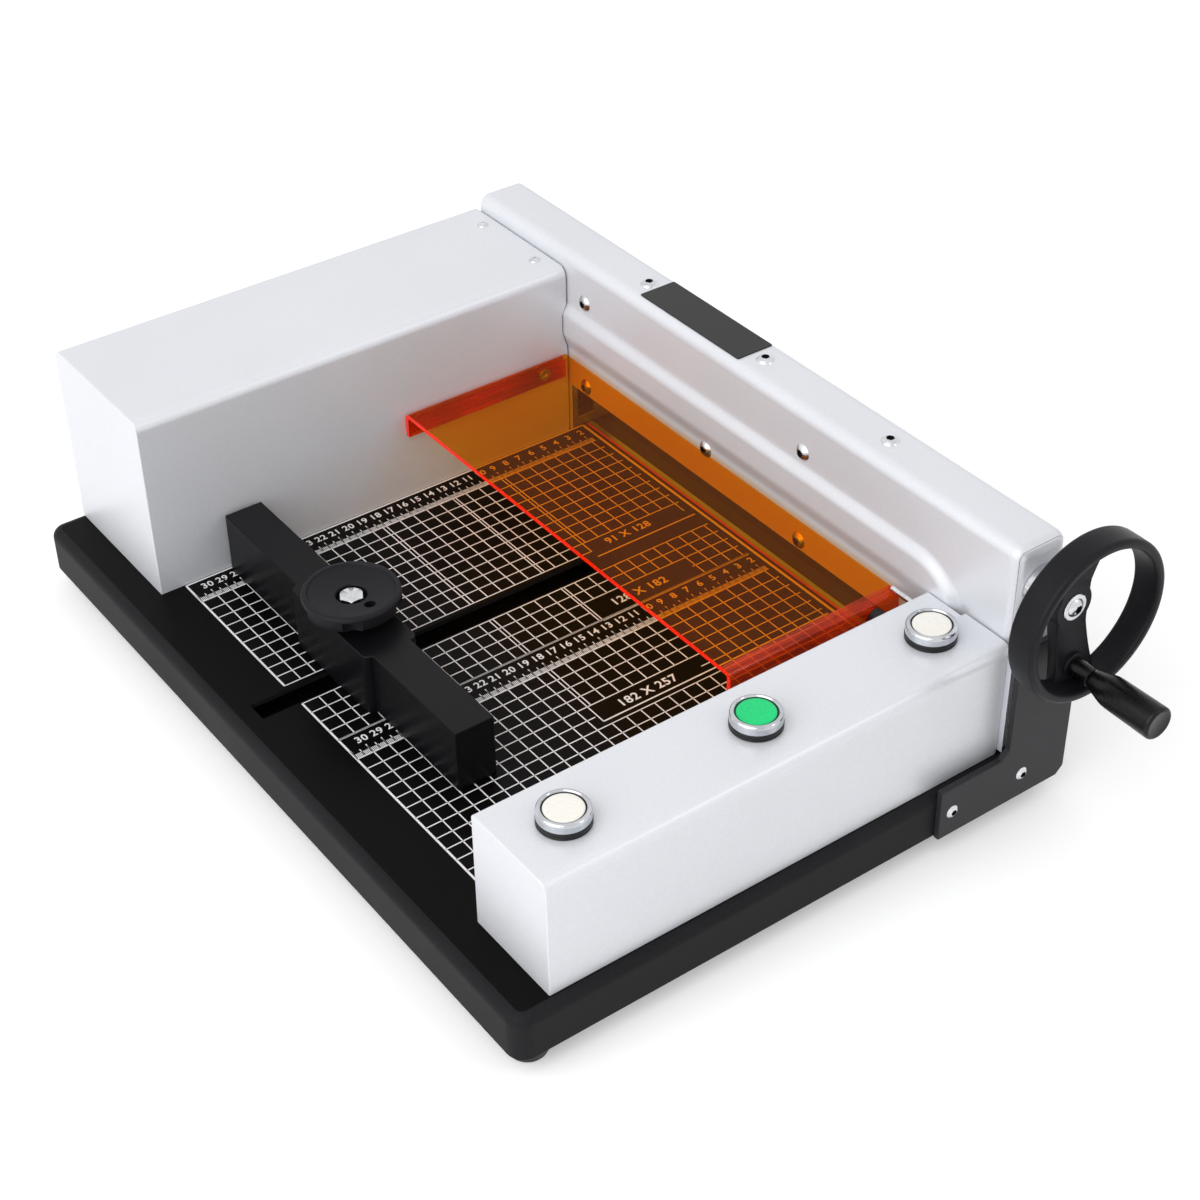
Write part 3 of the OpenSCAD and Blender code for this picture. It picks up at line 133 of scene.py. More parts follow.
def make_finishes(colours):
    """Makes every finish of the cutter once."""
    # Grains of paint, plastic and metal are drawn coarser than they are, so that they show
    made = {
        # Metallic stoving enamel on sheet steel: soft gloss, faint orange peel and a fine silver sparkle
        "silver": finish("Silver stoving enamel", "#e0e2e7", "#e6e8ed", (0.33, 0.39), 1.6, 0.003, 120,
                         Metallic=0.22, shine=0.3),
        # Fine-textured black powder coat on the base: dull, slightly pebbled, lighter where light grazes it
        "powder": finish("Black powder coat", "#18181a", "#222224", (0.46, 0.60), 1.1, 0.030, 80, shine=0.1),
        # Smooth black enamel of the printed table: flatter and darker than the base's sides
        "deck": finish("Black table enamel", "#060505", "#0b0909", (0.30, 0.40), 1.4, 0.005, 70, shine=0.06),
        # Screen ink, white: matt and a little thin in places
        "white_ink": finish("White screen ink", "#e2e2e4", "#f6f6f6", (0.50, 0.62), 0.8, 0.006, 40),
        # Screen ink, red, for the cutting line: matt, bright and evenly covering
        "red_ink": finish("Red screen ink", "#c81408", "#e0261a", (0.48, 0.60), 0.8, 0.006, 40),
        # Anodised and bead-blasted aluminium of the gauge: satin black with a grey sheen
        "anodised": finish("Black anodised aluminium", "#09090b", "#101013", (0.30, 0.40), 0.7, 0.008, 50, shine=0.15),
        # Powder-coated plate beside the beam: dark grey satin
        "plate": finish("Charcoal powder coat", "#2a292b", "#343336", (0.42, 0.54), 1.0, 0.020, 70, shine=0.2),
        # Moulded ABS of knob and handwheel: charcoal with a fine spark-eroded grain
        "abs": finish("Moulded black ABS", "#151518", "#1e1e22", (0.36, 0.46), 0.8, 0.015, 45, shine=0.15),
        # Moulded phenolic of the handle: near-black with a polished gloss
        "phenolic": finish("Polished phenolic", "#060607", "#0d0d0f", (0.22, 0.32), 1.5, 0.006, 30, shine=0.25),
        # Black polyamide of collars, inlet and switch: satin
        "polyamide": finish("Black polyamide", "#0d0d0f", "#161618", (0.34, 0.46), 0.7, 0.012, 30, shine=0.3),
        # Bright chrome plate: mirror with the faintest waviness
        "chrome": finish("Chrome plate", "#b9bcc1", "#cfd1d5", (0.12, 0.18), 6.0, 0.004, 20, Metallic=1.0),
        # Zinc-plated steel of screws and pins: bright with a milky bloom
        "zinc": finish("Zinc plated steel", "#c4c6ca", "#e2e3e5", (0.18, 0.30), 1.2, 0.003, 12, Metallic=1.0),
        # Ground steel of posts, bridge, rack and the strip beside the knife: long grinding marks
        "ground": finish("Ground steel", "#7d8085", "#9b9ea3", (0.28, 0.42), 0.6, 0.010, 40,
                         stretch=(1, 0.04, 1), Metallic=1.0),
        # Hardened knife steel: fine cross grinding, brighter than the posts
        "knife": finish("Hardened knife steel", "#b4b7bb", "#d4d6d9", (0.16, 0.26), 0.5, 0.006, 50,
                        stretch=(1, 1, 0.05), Metallic=1.0),
        # Turned bronze of nuts and bushes: warm, slightly dull
        "bronze": finish("Turned bronze", "#94703a", "#b48c4c", (0.26, 0.40), 0.7, 0.008, 25, Metallic=1.0),
        # Hammered enamel of motor and gearbox: grey with small dimples
        "motor": finish("Hammered grey enamel", "#3a3d42", "#54585e", (0.30, 0.42), 2.2, 0.060, 40),
        # Green circuit laminate with solder mask: glossy
        "laminate": finish("Solder mask laminate", "#12512a", "#1f7340", (0.24, 0.34), 1.2, 0.010, 15),
        # Extruded black polyethylene of the cutting stick: waxy and dark
        "stick": finish("Cutting stick polyethylene", "#0d0c0b", "#171513", (0.44, 0.56), 1.6, 0.012, 60, shine=0.15),
        # Clamp bar and guard spacer are of blackened steel: dark, with a dull sheen; in the key sockets of zinc screws
        # the same dark finish is painted shade
        "blackened_and_socket_shade": finish("Painted socket shade and blackened steel", "#121214", "#1d1d20", (0.36, 0.50), 0.8, 0.010, 40,
                        stretch=(1, 0.04, 1), shine=0.25),
        # Moulded rubber of the feet: deep black and dry
        "rubber": finish("Moulded rubber", "#0e0e0f", "#18181a", (0.62, 0.78), 0.9, 0.030, 20),
        # Lacquered sheet of the blank plate on the beam: smooth satin black
        "blank": finish("Black lacquered plate", "#161618", "#202022", (0.30, 0.40), 0.9, 0.008, 40, shine=0.3),
        # Moulded cap plastic, cream and green: smooth, with a soft gloss
        "cream": finish("Cream cap plastic", colours.cream_dark, colours.cream, (0.26, 0.32), 2.0, 0.001, 30,
                        shine=0.35),
        "green": finish("Green cap plastic", colours.green_dark, colours.green, (0.26, 0.32), 2.0, 0.001, 30,
                        shine=0.35),
        # Cast acrylic, clear orange: light passes through it and takes its colour, and the dye glows a little
        "acrylic": finish("Clear orange acrylic", "#ff9c62", "#ffa46c", (0.03, 0.06), 30.0, 0.001, 90, IOR=1.49),
        # The same acrylic at its bends and end flanges, with painted light: red streaks of light running along it are
        # painted into its colour, dark and bright in turn
        "acrylic_bend": finish("Orange acrylic bends, light streaks painted", "#6a1000", "#ff4a0c", (0.04, 0.08), 1.3, 0.001, 40,
                               stretch=(0.03, 1, 1), IOR=1.49),
        # Sawn and polished acrylic edge with a painted glow: a red emission stands in for the sheet's light that
        # gathers and shines out there
        "acrylic_edge": finish("Orange acrylic sawn edge, glow painted", "#e01c00", "#f42a04", (0.20, 0.30), 1.0, 0.006, 25,
                               **{"Emission Color": linear("#ff2400"), "Emission Strength": 0.3}),
    }
    for key, colour, share in (("acrylic", "#ffd23c", 0.96), ("acrylic_bend", "#ffb434", 0.6)):
        tree = made[key].node_tree
        through = add_node(tree, "ShaderNodeBsdfTransparent", {"Color": linear(colour)})
        sheet = add_node(tree, "ShaderNodeMixShader", {
            0: share, 1: tree.nodes["Principled BSDF"].outputs["BSDF"], 2: through.outputs["BSDF"]})
        tree.links.new(sheet.outputs["Shader"], tree.nodes["Material Output"].inputs["Surface"])
    FINISHES.update(made)


# Mesh building


def rectangle(low, high, radii, steps=8):
    """Outline of a rectangle, anticlockwise from its lower left corner, with a radius at each corner."""
    points = []
    corners = ((low[0], low[1], 1, 1, 180), (high[0], low[1], -1, 1, 270),
               (high[0], high[1], -1, -1, 0), (low[0], high[1], 1, -1, 90))
    for (u, v, su, sv, first), radius in zip(corners, radii):
        if radius <= 0:
            points.append((u, v))
            continue
        for k in range(steps + 1):
            turn = math.radians(first + 90 * k / steps)
            points.append((u + su * radius + radius * math.cos(turn), v + sv * radius + radius * math.sin(turn)))
    return points


def raised(points, axis, height):
    """Points of a flat outline at a height along X, Y or Z."""
    if axis == "X":
        return [Vector((height, u, v)) for u, v in points]
    if axis == "Y":
        return [Vector((u, height, v)) for u, v in points]
    return [Vector((u, v, height)) for u, v in points]


def loft(rings, bm=None, capped=True):
    """Skins rings of points, each with the same count, and closes both ends."""
    bm = bm or bmesh.new()
    loops = [[bm.verts.new(point) for point in ring] for ring in rings]
    count = len(loops[0])
    for below, above in zip(loops, loops[1:]):
        for i in range(count):
            j = (i + 1) % count
            bm.faces.new((below[i], below[j], above[j], above[i]))
    if capped:
        bm.faces.new(loops[0][::-1])
        bm.faces.new(loops[-1])
    return bm


def prism(points, axis, start, end, bm=None):
    """A flat outline drawn out along an axis."""
    return loft([raised(points, axis, start), raised(points, axis, end)], bm)


def block(low, high, bm=None):
    """A box, for cutting."""
    return prism(rectangle(low[:2], high[:2], (0, 0, 0, 0)), "Z", low[2], high[2], bm)


def turned(profile, place, facing=(0, 0, 1), segments=64, bm=None):
    """A turned shape: a profile of radius and height pairs round an axis."""
    set_up = Matrix.Translation(place) @ Vector(facing).to_track_quat("Z", "Y").to_matrix().to_4x4()
    rings = []
    for radius, height in profile:
        rings.append([set_up @ Vector((radius * math.cos(math.tau * i / segments),
                                       radius * math.sin(math.tau * i / segments), height))
                      for i in range(segments)])
    return loft(rings, bm, capped=False)


def rod(radius, length, place, facing=(0, 0, 1), segments=64, bm=None):
    """A plain rod, for cutting and joining."""
    return turned([(0, 0), (radius, 0), (radius, length), (0, length)], place, facing, segments, bm)


def arc(centre, radius, first, last, steps=6):
    """Profile points on an arc, angles in degrees."""
    return [(centre[0] + radius * math.cos(math.radians(first + (last - first) * k / steps)),
             centre[1] + radius * math.sin(math.radians(first + (last - first) * k / steps)))
            for k in range(steps + 1)]


def tidy(bm):
    """Merges doubled points and turns all faces outwards."""
    bmesh.ops.remove_doubles(bm, verts=bm.verts, dist=0.0005)
    bmesh.ops.recalc_face_normals(bm, faces=bm.faces)
    return bm


def loose_object(bm, name):
    """An object from a mesh in the making."""
    mesh = bpy.data.meshes.new(name)
    bm.to_mesh(mesh)
    bm.free()
    made = bpy.data.objects.new(name, mesh)
    bpy.context.scene.collection.objects.link(made)
    return made


def flattened(made):
    """Turns an object with live modifiers into a mesh in the making, and removes the object."""
    graph = bpy.context.evaluated_depsgraph_get()
    mesh = bpy.data.meshes.new_from_object(made.evaluated_get(graph))
    bm = bmesh.new()
    bm.from_mesh(mesh)
    for face in bm.faces:
        face.material_index = 0
    bpy.data.objects.remove(made)
    bpy.data.meshes.remove(mesh)
    return bm


def carved(bm, tool, operation="DIFFERENCE"):
    """A solid after another is taken from it or added to it."""
    body = loose_object(tidy(bm), "carved")
    cutter = loose_object(tidy(tool), "cutter")
    step = body.modifiers.new("Carve", "BOOLEAN")
    step.operation = operation
    step.object = cutter
    step.solver = "EXACT"
    out = flattened(body)
    bpy.data.objects.remove(cutter)
    return out


def piece(bm, name, body, finishes, nodes=(), soft=0.0, crease=35):
    """A finished piece of the cutter that rides on a body and stands for CAD nodes."""
    made = loose_object(tidy(bm), name)
    mesh = made.data
    mesh.transform(TO_FRAME)
    mesh.shade_smooth()
    mesh.set_sharp_from_angle(angle=math.radians(crease))
    for face in mesh.polygons:
        # Faces over 3 square centimetres are shaded flat, so that the eased edges beside them don't bend their light
        face.use_smooth = face.area < 3e-4
    keys = finishes.split()
    for key in keys:
        mesh.materials.append(FINISHES[key])
    if soft:
        edge = made.modifiers.new("Soft edges", "BEVEL")
        edge.width = soft * MM
        edge.segments = 2
        edge.limit_method = "ANGLE"
        edge.angle_limit = math.radians(crease)
        edge.harden_normals = True
    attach(made, body)
    if nodes:
        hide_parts(*nodes)
    return made


def softened(node, name, body, finish_key, soft=0.0):
    """A merged copy of a CAD node with smooth round faces and eased edges, which stands for it."""
    bm = bmesh.new()
    bm.from_mesh(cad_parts[node].data)
    bmesh.ops.transform(bm, matrix=TO_FRAME.inverted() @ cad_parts[node].matrix_world, verts=bm.verts)
    bmesh.ops.remove_doubles(bm, verts=bm.verts, dist=0.002)
    bmesh.ops.dissolve_limit(bm, angle_limit=math.radians(1), verts=bm.verts, edges=bm.edges)
    return piece(bm, name, body, finish_key, (node,), soft, crease=30)


# Geometry node trees


def screw_tree():
    """Button-head screws on points, each head along the point's facing, with a hexagon socket."""
    tree = bpy.data.node_groups.new("Button-head screws", "GeometryNodeTree")
    face = tree.interface
    face.new_socket("Points", in_out="INPUT", socket_type="NodeSocketGeometry")
    sizes = {}
    for label in ("Head Radius", "Head Height", "Dome Radius", "Socket Radius", "Socket Floor"):
        sizes[label] = face.new_socket(label, in_out="INPUT", socket_type="NodeSocketFloat").identifier
    sizes["Finish"] = face.new_socket("Finish", in_out="INPUT", socket_type="NodeSocketMaterial").identifier
    face.new_socket("Screws", in_out="OUTPUT", socket_type="NodeSocketGeometry")
    group = add_node(tree, "NodeGroupInput").outputs
    half = add_node(tree, "ShaderNodeMath", {0: group["Head Height"], 1: 0.5}, operation="MULTIPLY")
    low = add_node(tree, "ShaderNodeMath", {0: group["Head Height"], 1: group["Dome Radius"]}, operation="SUBTRACT")
    up = add_node(tree, "ShaderNodeCombineXYZ", {"Z": half.outputs[0]})
    down = add_node(tree, "ShaderNodeCombineXYZ", {"Z": low.outputs[0]})
    disc = add_node(tree, "GeometryNodeMeshCylinder", {
        "Vertices": 48, "Radius": group["Head Radius"], "Depth": group["Head Height"]})
    ball = add_node(tree, "GeometryNodeMeshUVSphere", {"Segments": 48, "Rings": 64, "Radius": group["Dome Radius"]})
    disc_up = add_node(tree, "GeometryNodeTransform", {
        "Geometry": disc.outputs["Mesh"], "Translation": up.outputs["Vector"]})
    ball_down = add_node(tree, "GeometryNodeTransform", {
        "Geometry": ball.outputs["Mesh"], "Translation": down.outputs["Vector"]})
    dome = add_node(tree, "GeometryNodeMeshBoolean", operation="INTERSECT")
    tree.links.new(disc_up.outputs["Geometry"], dome.inputs["Mesh 2"])
    tree.links.new(ball_down.outputs["Geometry"], dome.inputs["Mesh 2"])
    deep = add_node(tree, "ShaderNodeMath", {0: group["Socket Floor"], 1: group["Head Height"]}, operation="ADD")
    key_up = add_node(tree, "ShaderNodeCombineXYZ", {"Z": deep.outputs[0]})
    twice = add_node(tree, "ShaderNodeMath", {0: group["Head Height"], 1: 2.0}, operation="MULTIPLY")
    key = add_node(tree, "GeometryNodeMeshCylinder", {
        "Vertices": 6, "Radius": group["Socket Radius"], "Depth": twice.outputs[0]})
    key_at = add_node(tree, "GeometryNodeTransform", {
        "Geometry": key.outputs["Mesh"], "Translation": key_up.outputs["Vector"]})
    head = add_node(tree, "GeometryNodeMeshBoolean", {
        "Mesh 1": dome.outputs["Mesh"], "Mesh 2": key_at.outputs["Geometry"]}, operation="DIFFERENCE")
    facing = add_node(tree, "GeometryNodeInputNamedAttribute", {"Name": "facing"}, data_type="FLOAT_VECTOR")
    turn = add_node(tree, "FunctionNodeAlignRotationToVector", {"Vector": facing.outputs["Attribute"]}, axis="Z")
    placed = add_node(tree, "GeometryNodeInstanceOnPoints", {
        "Points": group["Points"], "Instance": head.outputs["Mesh"], "Rotation": turn.outputs["Rotation"]})
    real = add_node(tree, "GeometryNodeRealizeInstances", {"Geometry": placed.outputs["Instances"]})
    dressed = add_node(tree, "GeometryNodeSetMaterial", {
        "Geometry": real.outputs["Geometry"], "Material": group["Finish"]})
    add_node(tree, "NodeGroupOutput", {"Screws": dressed.outputs["Geometry"]})
    return tree, sizes


def stroke_tree():
    """Equal strokes in a row, added to the strokes before them."""
    tree = bpy.data.node_groups.new("Printed strokes", "GeometryNodeTree")
    face = tree.interface
    face.new_socket("Strokes", in_out="INPUT", socket_type="NodeSocketGeometry")
    names = {"Count": "NodeSocketInt", "First": "NodeSocketVector", "Step": "NodeSocketVector",
             "Stroke": "NodeSocketVector", "Ink": "NodeSocketMaterial"}
    keys = {label: face.new_socket(label, in_out="INPUT", socket_type=kind).identifier
            for label, kind in names.items()}
    face.new_socket("Strokes", in_out="OUTPUT", socket_type="NodeSocketGeometry")
    group = add_node(tree, "NodeGroupInput").outputs
    row = add_node(tree, "GeometryNodeMeshLine", {
        "Count": group["Count"], "Start Location": group["First"], "Offset": group["Step"]}, mode="OFFSET")
    bar = add_node(tree, "GeometryNodeMeshCube", {"Size": group["Stroke"]})
    placed = add_node(tree, "GeometryNodeInstanceOnPoints", {
        "Points": row.outputs["Mesh"], "Instance": bar.outputs["Mesh"]})
    real = add_node(tree, "GeometryNodeRealizeInstances", {"Geometry": placed.outputs["Instances"]})
    dressed = add_node(tree, "GeometryNodeSetMaterial", {
        "Geometry": real.outputs["Geometry"], "Material": group["Ink"]})
    joined = add_node(tree, "GeometryNodeJoinGeometry")
    tree.links.new(group["Strokes"], joined.inputs["Geometry"])
    tree.links.new(dressed.outputs["Geometry"], joined.inputs["Geometry"])
    add_node(tree, "NodeGroupOutput", {"Strokes": joined.outputs["Geometry"]})
    return tree, keys


def screws(name, body, node, radius, places, inside="blackened_and_socket_shade"):
    """Screw heads of one size at pairs of place and facing, with the second finish in the key sockets, which is
    painted shade there where it is darker than the head.
    """
    bm = bmesh.new()
    layer = bm.verts.layers.float_vector.new("facing")
    for place, facing in places:
        bm.verts.new(place)[layer] = Vector(facing)
    points = loose_object(bm, "screw points")
    tree, keys = screw_tree()
    step = points.modifiers.new("Screws", "NODES")
    step.node_group = tree
    values = {"Head Radius": radius, "Head Height": 0.48 * radius, "Dome Radius": 1.3 * radius,
              "Socket Radius": 0.48 * radius, "Socket Floor": 0.08 * radius, "Finish": FINISHES["zinc"]}
    for label, value in values.items():
        step[keys[label]] = value
    made = piece(flattened(points), name, body, "zinc " + inside, (node,), crease=30)
    # The key sockets take the second finish inside, darker than the head: painted shade for the shadow in each hex
    # hole
    for face in made.data.polygons:
        at = (face.center - ORIGIN) / MM
        for place, facing in places:
            away = at - Vector(place)
            if away.cross(Vector(facing)).length < 0.42 * radius and away.length < radius:
                face.material_index = 1


# Sizes and colours that a user would change


class CutterSizes(bpy.types.PropertyGroup):
    """Sizes of the dressing, in millimetres."""

    edge: bpy.props.FloatProperty(
        name="Sheet edge", description="Easing of the housings' folded edges, in mm", default=0.6, min=0.1, max=2)
    line: bpy.props.FloatProperty(
        name="Grid line", description="Width of a printed grid line, in mm", default=0.75, min=0.2, max=2)
    border: bpy.props.FloatProperty(
        name="Border line", description="Width of a printed border line, in mm", default=1.3, min=0.4, max=3)
    ink: bpy.props.FloatProperty(
        name="Ink height", description="Height of the print above the table, in mm", default=0.08, min=0.02, max=0.3)
    number: bpy.props.FloatProperty(
        name="Number height", description="Size of the scale numbers, in mm", default=7.4, min=3, max=12)


class CutterColours(bpy.types.PropertyGroup):
    """Colours of the caps, as sRGB hex codes."""

    cream: bpy.props.StringProperty(name="Cream cap", description="Colour of the start caps", default="#fbf9f1")
    cream_dark: bpy.props.StringProperty(name="Cream shade", description="Shade of the start caps", default="#f6f3ea")
    green: bpy.props.StringProperty(name="Green cap", description="Colour of the reset cap", default="#0adc82")
    green_dark: bpy.props.StringProperty(name="Green shade", description="Shade of the reset cap", default="#06ce76")


class CutterStage(bpy.types.PropertyGroup):
    """Camera and light."""

    place: bpy.props.FloatVectorProperty(
        name="Camera place", description="Where the camera stands", subtype="TRANSLATION", unit="LENGTH",
        default=(-0.60240, -0.86175, 0.87398))
    turn: bpy.props.FloatVectorProperty(
        name="Camera turn", description="How the camera is turned", subtype="EULER", unit="ROTATION",
        default=(math.radians(52.7567), math.radians(0.7016), math.radians(-36.1224)))
    lens: bpy.props.FloatProperty(name="Lens", description="Focal length on a 36 mm sensor, in mm", default=68.556)
    floor: bpy.props.FloatProperty(name="Floor", description="White added to the floor as it is seen", default=0.26)
    sky: bpy.props.FloatProperty(name="Sky", description="Strength of the even light", default=0.68)
    key: bpy.props.FloatProperty(name="Key light", description="Power of the large lamp", unit="POWER", default=61)


# Operators


class CUTTER_OT_base(bpy.types.Operator):
    """Base shell with its table, slots and feet"""

    bl_idname = "cutter.base"
    bl_label = "Base and feet"

    def execute(self, context):
        low, high = span("base_tray")
        corner, edge, wall, deck = 10, 6, 3, 3

        def ring(inset, height):
            """The base's plan at a height, drawn in."""
            return raised(rectangle((low.x + inset, low.y + inset), (high.x - inset, high.y - inset),
                                    (max(corner - inset, 0.5),) * 4), "Z", height)

        rings = [ring(wall, -deck), ring(wall, low.z + 0.4), ring(0.8, low.z), ring(0, low.z + 0.8)]
        rings += [ring(*spot) for spot in arc((edge, -edge), edge, 180, 90, 9)]
        shell = loft(rings)
        gauge_slot = (-335, -139.5, -9), (-82, -124.5, 9)
        stick_low, stick_high = span("cutting_stick")
        gap = Vector((0.15, 0.3, 9))
        cuts = block(*gauge_slot)
        block(stick_low - gap, stick_high + gap, cuts)
        made = piece(carved(shell, cuts), "base_shell", "frame", "powder deck", ("base_tray",))
        # The table is enamelled smooth, darker than the sides, with a steel strip along the knife
        for face in made.data.polygons:
            if face.normal.z > 0.99 and abs(face.center.z - ORIGIN.z) < 0.01 * MM:
                face.material_index = 1
        strip = rectangle((-7.6, TABLE_FRONT), (stick_low.x - 0.3, -0.6), (0.5,) * 4)
        piece(prism(strip, "Z", -0.5, 0.05), "table_edge", "frame", "ground")

        feet_low, feet_high = span("rubber_feet")
        top, tip, height = 15, 10, feet_high.z - feet_low.z
        profile = [(0, height), (top - 1, height)] + arc((top - 1, height - 1), 1, 90, 0, 3)
        profile += [(top - 0.6, height - 3), (tip + 1.6, 3.2), (tip + 0.9, 1.4)]
        profile += arc((tip - 0.6, 1.4), 1.4, 0, -90, 4) + [(6.2, 0), (5.6, 0.6), (5.5, 4), (0, 4)]
        feet = bmesh.new()
        for x in (feet_low.x + top, feet_high.x - top):
            for y in (feet_low.y + top, feet_high.y - top):
                turned(profile, (x, y, feet_low.z), segments=48, bm=feet)
        piece(feet, "moulded_feet", "frame", "rubber", ("rubber_feet",))
        return {"FINISHED"}


class CUTTER_OT_print(bpy.types.Operator):
    """White grid, rulers, paper frames and scale numbers on the table"""

    bl_idname = "cutter.print"
    bl_label = "Table print"

    def execute(self, context):
        sizes = context.scene.cutter_sizes
        thin, thick, high = sizes.line, sizes.border, sizes.ink
        left, right, front, first = -310.5, -16.5, TABLE_FRONT, -1.2
        # Print stands this far clear of the table, so that the two faces never meet
        clear = 0.03
        tree, keys = stroke_tree()
        sets = {ink: loose_object(bmesh.new(), ink) for ink in ("white_ink", "red_ink")}

        def row(count, at, step, stroke, ink="white_ink"):
            """Equal strokes from a place on, a step apart."""
            move = sets[ink].modifiers.new("Strokes", "NODES")
            move.node_group = tree
            values = {"Count": count, "First": (at[0], at[1], clear + high / 2), "Step": (step[0], step[1], 0),
                      "Stroke": (stroke[0], stroke[1], high), "Ink": FINISHES[ink]}
            for label, value in values.items():
                move[keys[label]] = value

        def line(a, b, width, ink="white_ink"):
            """One stroke from a place to another."""
            size = (max(abs(b[0] - a[0]), width), max(abs(b[1] - a[1]), width))
            row(1, ((a[0] + b[0]) / 2, (a[1] + b[1]) / 2), (1, 0), size, ink)

        def columns(near, far, y0, y1):
            """Centimetre lines across the table, counted from the knife."""
            row(far - near + 1, (-10 * near + 0.3, (y0 + y1) / 2), (-10, 0), (thin, abs(y1 - y0)))

        def rows(near, far, x0, x1):
            """Centimetre lines along the table, counted from the fence."""
            row(far - near + 1, ((x0 + x1) / 2, first - 10 * near), (0, -10), (abs(x1 - x0), thin))

        at = [first - 10 * k for k in range(36)]
        # Three printed fields, with a gap in the grid round each paper size
        for near, far, top, bottom in (
                (2, 30, at[2], at[11]), (2, 2, at[11], at[12]), (10, 30, at[11], at[12]),
                (2, 30, at[14], at[16]), (2, 5, at[16], at[18]), (13, 30, at[16], at[18]),
                (2, 30, at[20], at[24]), (2, 10, at[24], front), (19, 30, at[24], front), (11, 18, at[26], front)):
            columns(near, far, top, bottom)
        for near, far, start, end in (
                (3, 11, left, right), (12, 12, left, -92),
                (14, 16, left, right), (17, 17, left, -130), (17, 17, -52, right), (18, 18, left, right),
                (21, 24, left, right), (25, 25, left, -184), (25, 25, -108, right), (26, 34, left, right)):
            rows(near, far, start, end)
        line((left, at[0]), (right + 4, at[0]), thick)
        line((left, at[0]), (left, at[12]), thick)
        line((left, at[14]), (left, front), thick)
        line((left, at[18]), (right, at[18]), thick)
        # White and red lines beside the knife
        line((-12.5, at[0]), (-12.5, front), 1.8)
        line((-8.6, at[0]), (-8.6, front), 1.6, "red_ink")
        # Two rulers, with strokes for millimetres, half centimetres and centimetres
        for base in (at[2], at[20]):
            line((left, base), (right, base), 1.0)
            row(294, (-17, base + 2.2), (-1, 0), (0.55, 3.6))
            row(59, (-20, base + 3.4), (-5, 0), (0.6, 6.0))
            row(30, (-20, base + 4.2), (-10, 0), (0.7, 7.6))
        fields = ((at[2], at[12]), (at[14], at[18]), (at[20], front))
        papers = ((-182.3, -257), (-127.6, -182), (-92.2, -128))
        for x, y in papers:
            for top, bottom in fields:
                if y < top:
                    line((x, top), (x, max(y, bottom)), thin)
            line((x, y), (right, y), 1.0)
        piece(flattened(sets["white_ink"]), "table_lines", "frame", "white_ink")
        piece(flattened(sets["red_ink"]), "cutting_line", "frame", "red_ink")

        words = bmesh.new()
        labels = [(str(k), -10.0 * k + 0.6, y, sizes.number)
                  for k in range(2, 31) for y in (-9.4, -189.2)]
        labels += [("182 X 257", -146, -251.5, 9.0), ("128 X 182", -93, -173.0, 9.0), ("91 X 128", -62, -119.8, 8.4)]
        for text, x, y, size in labels:
            curve = bpy.data.curves.new("number", "FONT")
            curve.body = text
            curve.size = size
            curve.align_x = "CENTER"
            curve.align_y = "CENTER"
            curve.offset = 0.018 * size
            curve.space_character = 1.08
            curve.extrude = high / 2
            curve.resolution_u = 3
            made = bpy.data.objects.new("number", curve)
            context.scene.collection.objects.link(made)
            graph = context.evaluated_depsgraph_get()
            mesh = bpy.data.meshes.new_from_object(made.evaluated_get(graph))
            mesh.transform(Matrix.Translation((x, y + 1.4, clear + high / 2)))
            words.from_mesh(mesh)
            bpy.data.objects.remove(made)
            bpy.data.meshes.remove(mesh)
        piece(words, "scale_numbers", "frame", "white_ink")
        return {"FINISHED"}


class CUTTER_OT_housings(bpy.types.Operator):
    """Folded sheet housings behind and before the table"""

    bl_idname = "cutter.housings"
    bl_label = "Housings"

    def execute(self, context):
        ease = context.scene.cutter_sizes.edge
        fold, sheet, corner = 7, 1.5, 5
        for node, name, rear_fold in (("rear_housing", "rear_cover", 7), ("front_housing", "front_cover", 2.5)):
            low, high = span(node)

            def ring(inset, x):
                """The housing's folded section, drawn in."""
                return raised(rectangle((low.y + inset, 0), (high.y - inset, high.z - inset),
                                        (0, 0, rear_fold - inset, fold - inset)), "X", x)

            outside = loft([ring(ease, low.x), ring(0.3 * ease, low.x + 0.3 * ease), ring(0, low.x + ease),
                            ring(0, high.x - 0.3), ring(0.3, high.x)])
            inside = prism(rectangle((low.y + sheet, -5), (high.y - sheet, high.z - sheet),
                                     (0, 0, rear_fold - sheet, fold - sheet)), "X", low.x + sheet, high.x + 5)
            if node == "front_housing":
                # The upright edge beside the side plate is folded round
                post = block((high.x - corner, low.y - 1, -6), (high.x + 6, low.y + corner, high.z - fold))
                inside = carved(inside, post)
                plan = rectangle((low.x - 1, low.y), (high.x, high.y + 1), (0, corner, 0, 0), 10)
                outside = carved(outside, prism(plan, "Z", -1, high.z + 1), "INTERSECT")
            shell = carved(outside, inside)
            # Room for the beam's raised band, and the openings for what passes through the sheet
            band_y = (-1, 2.5) if node == "rear_housing" else (-373, -344)
            shape = [(0, 61), (-22.4, 61), (-23.2, 66), (-24.6, 70), (-25.9, 74), (-26.4, 77), (-26.4, 87)]
            shape += [(-26.2, 88.6), (-23, 95.6), (-22.6, 98.5), (0, 98.5)]
            cuts = prism(shape, "Y", *band_y)
            if node == "rear_housing":
                for opening in ("mains_inlet", "switch_frame"):
                    at = middle(opening)
                    half = 14 if opening == "mains_inlet" else 7
                    block((at.x - half, high.y - 4, at.z - 10), (at.x + half, high.y + 3, at.z + 10), cuts)
            else:
                for cap in ("left_start_cap", "reset_cap", "right_start_cap"):
                    at = middle(cap)
                    rod(11.15, 9, (at.x, at.y, high.z - 5), bm=cuts)
            piece(carved(shell, cuts), name, "frame", "silver", (node,), crease=25)
        return {"FINISHED"}


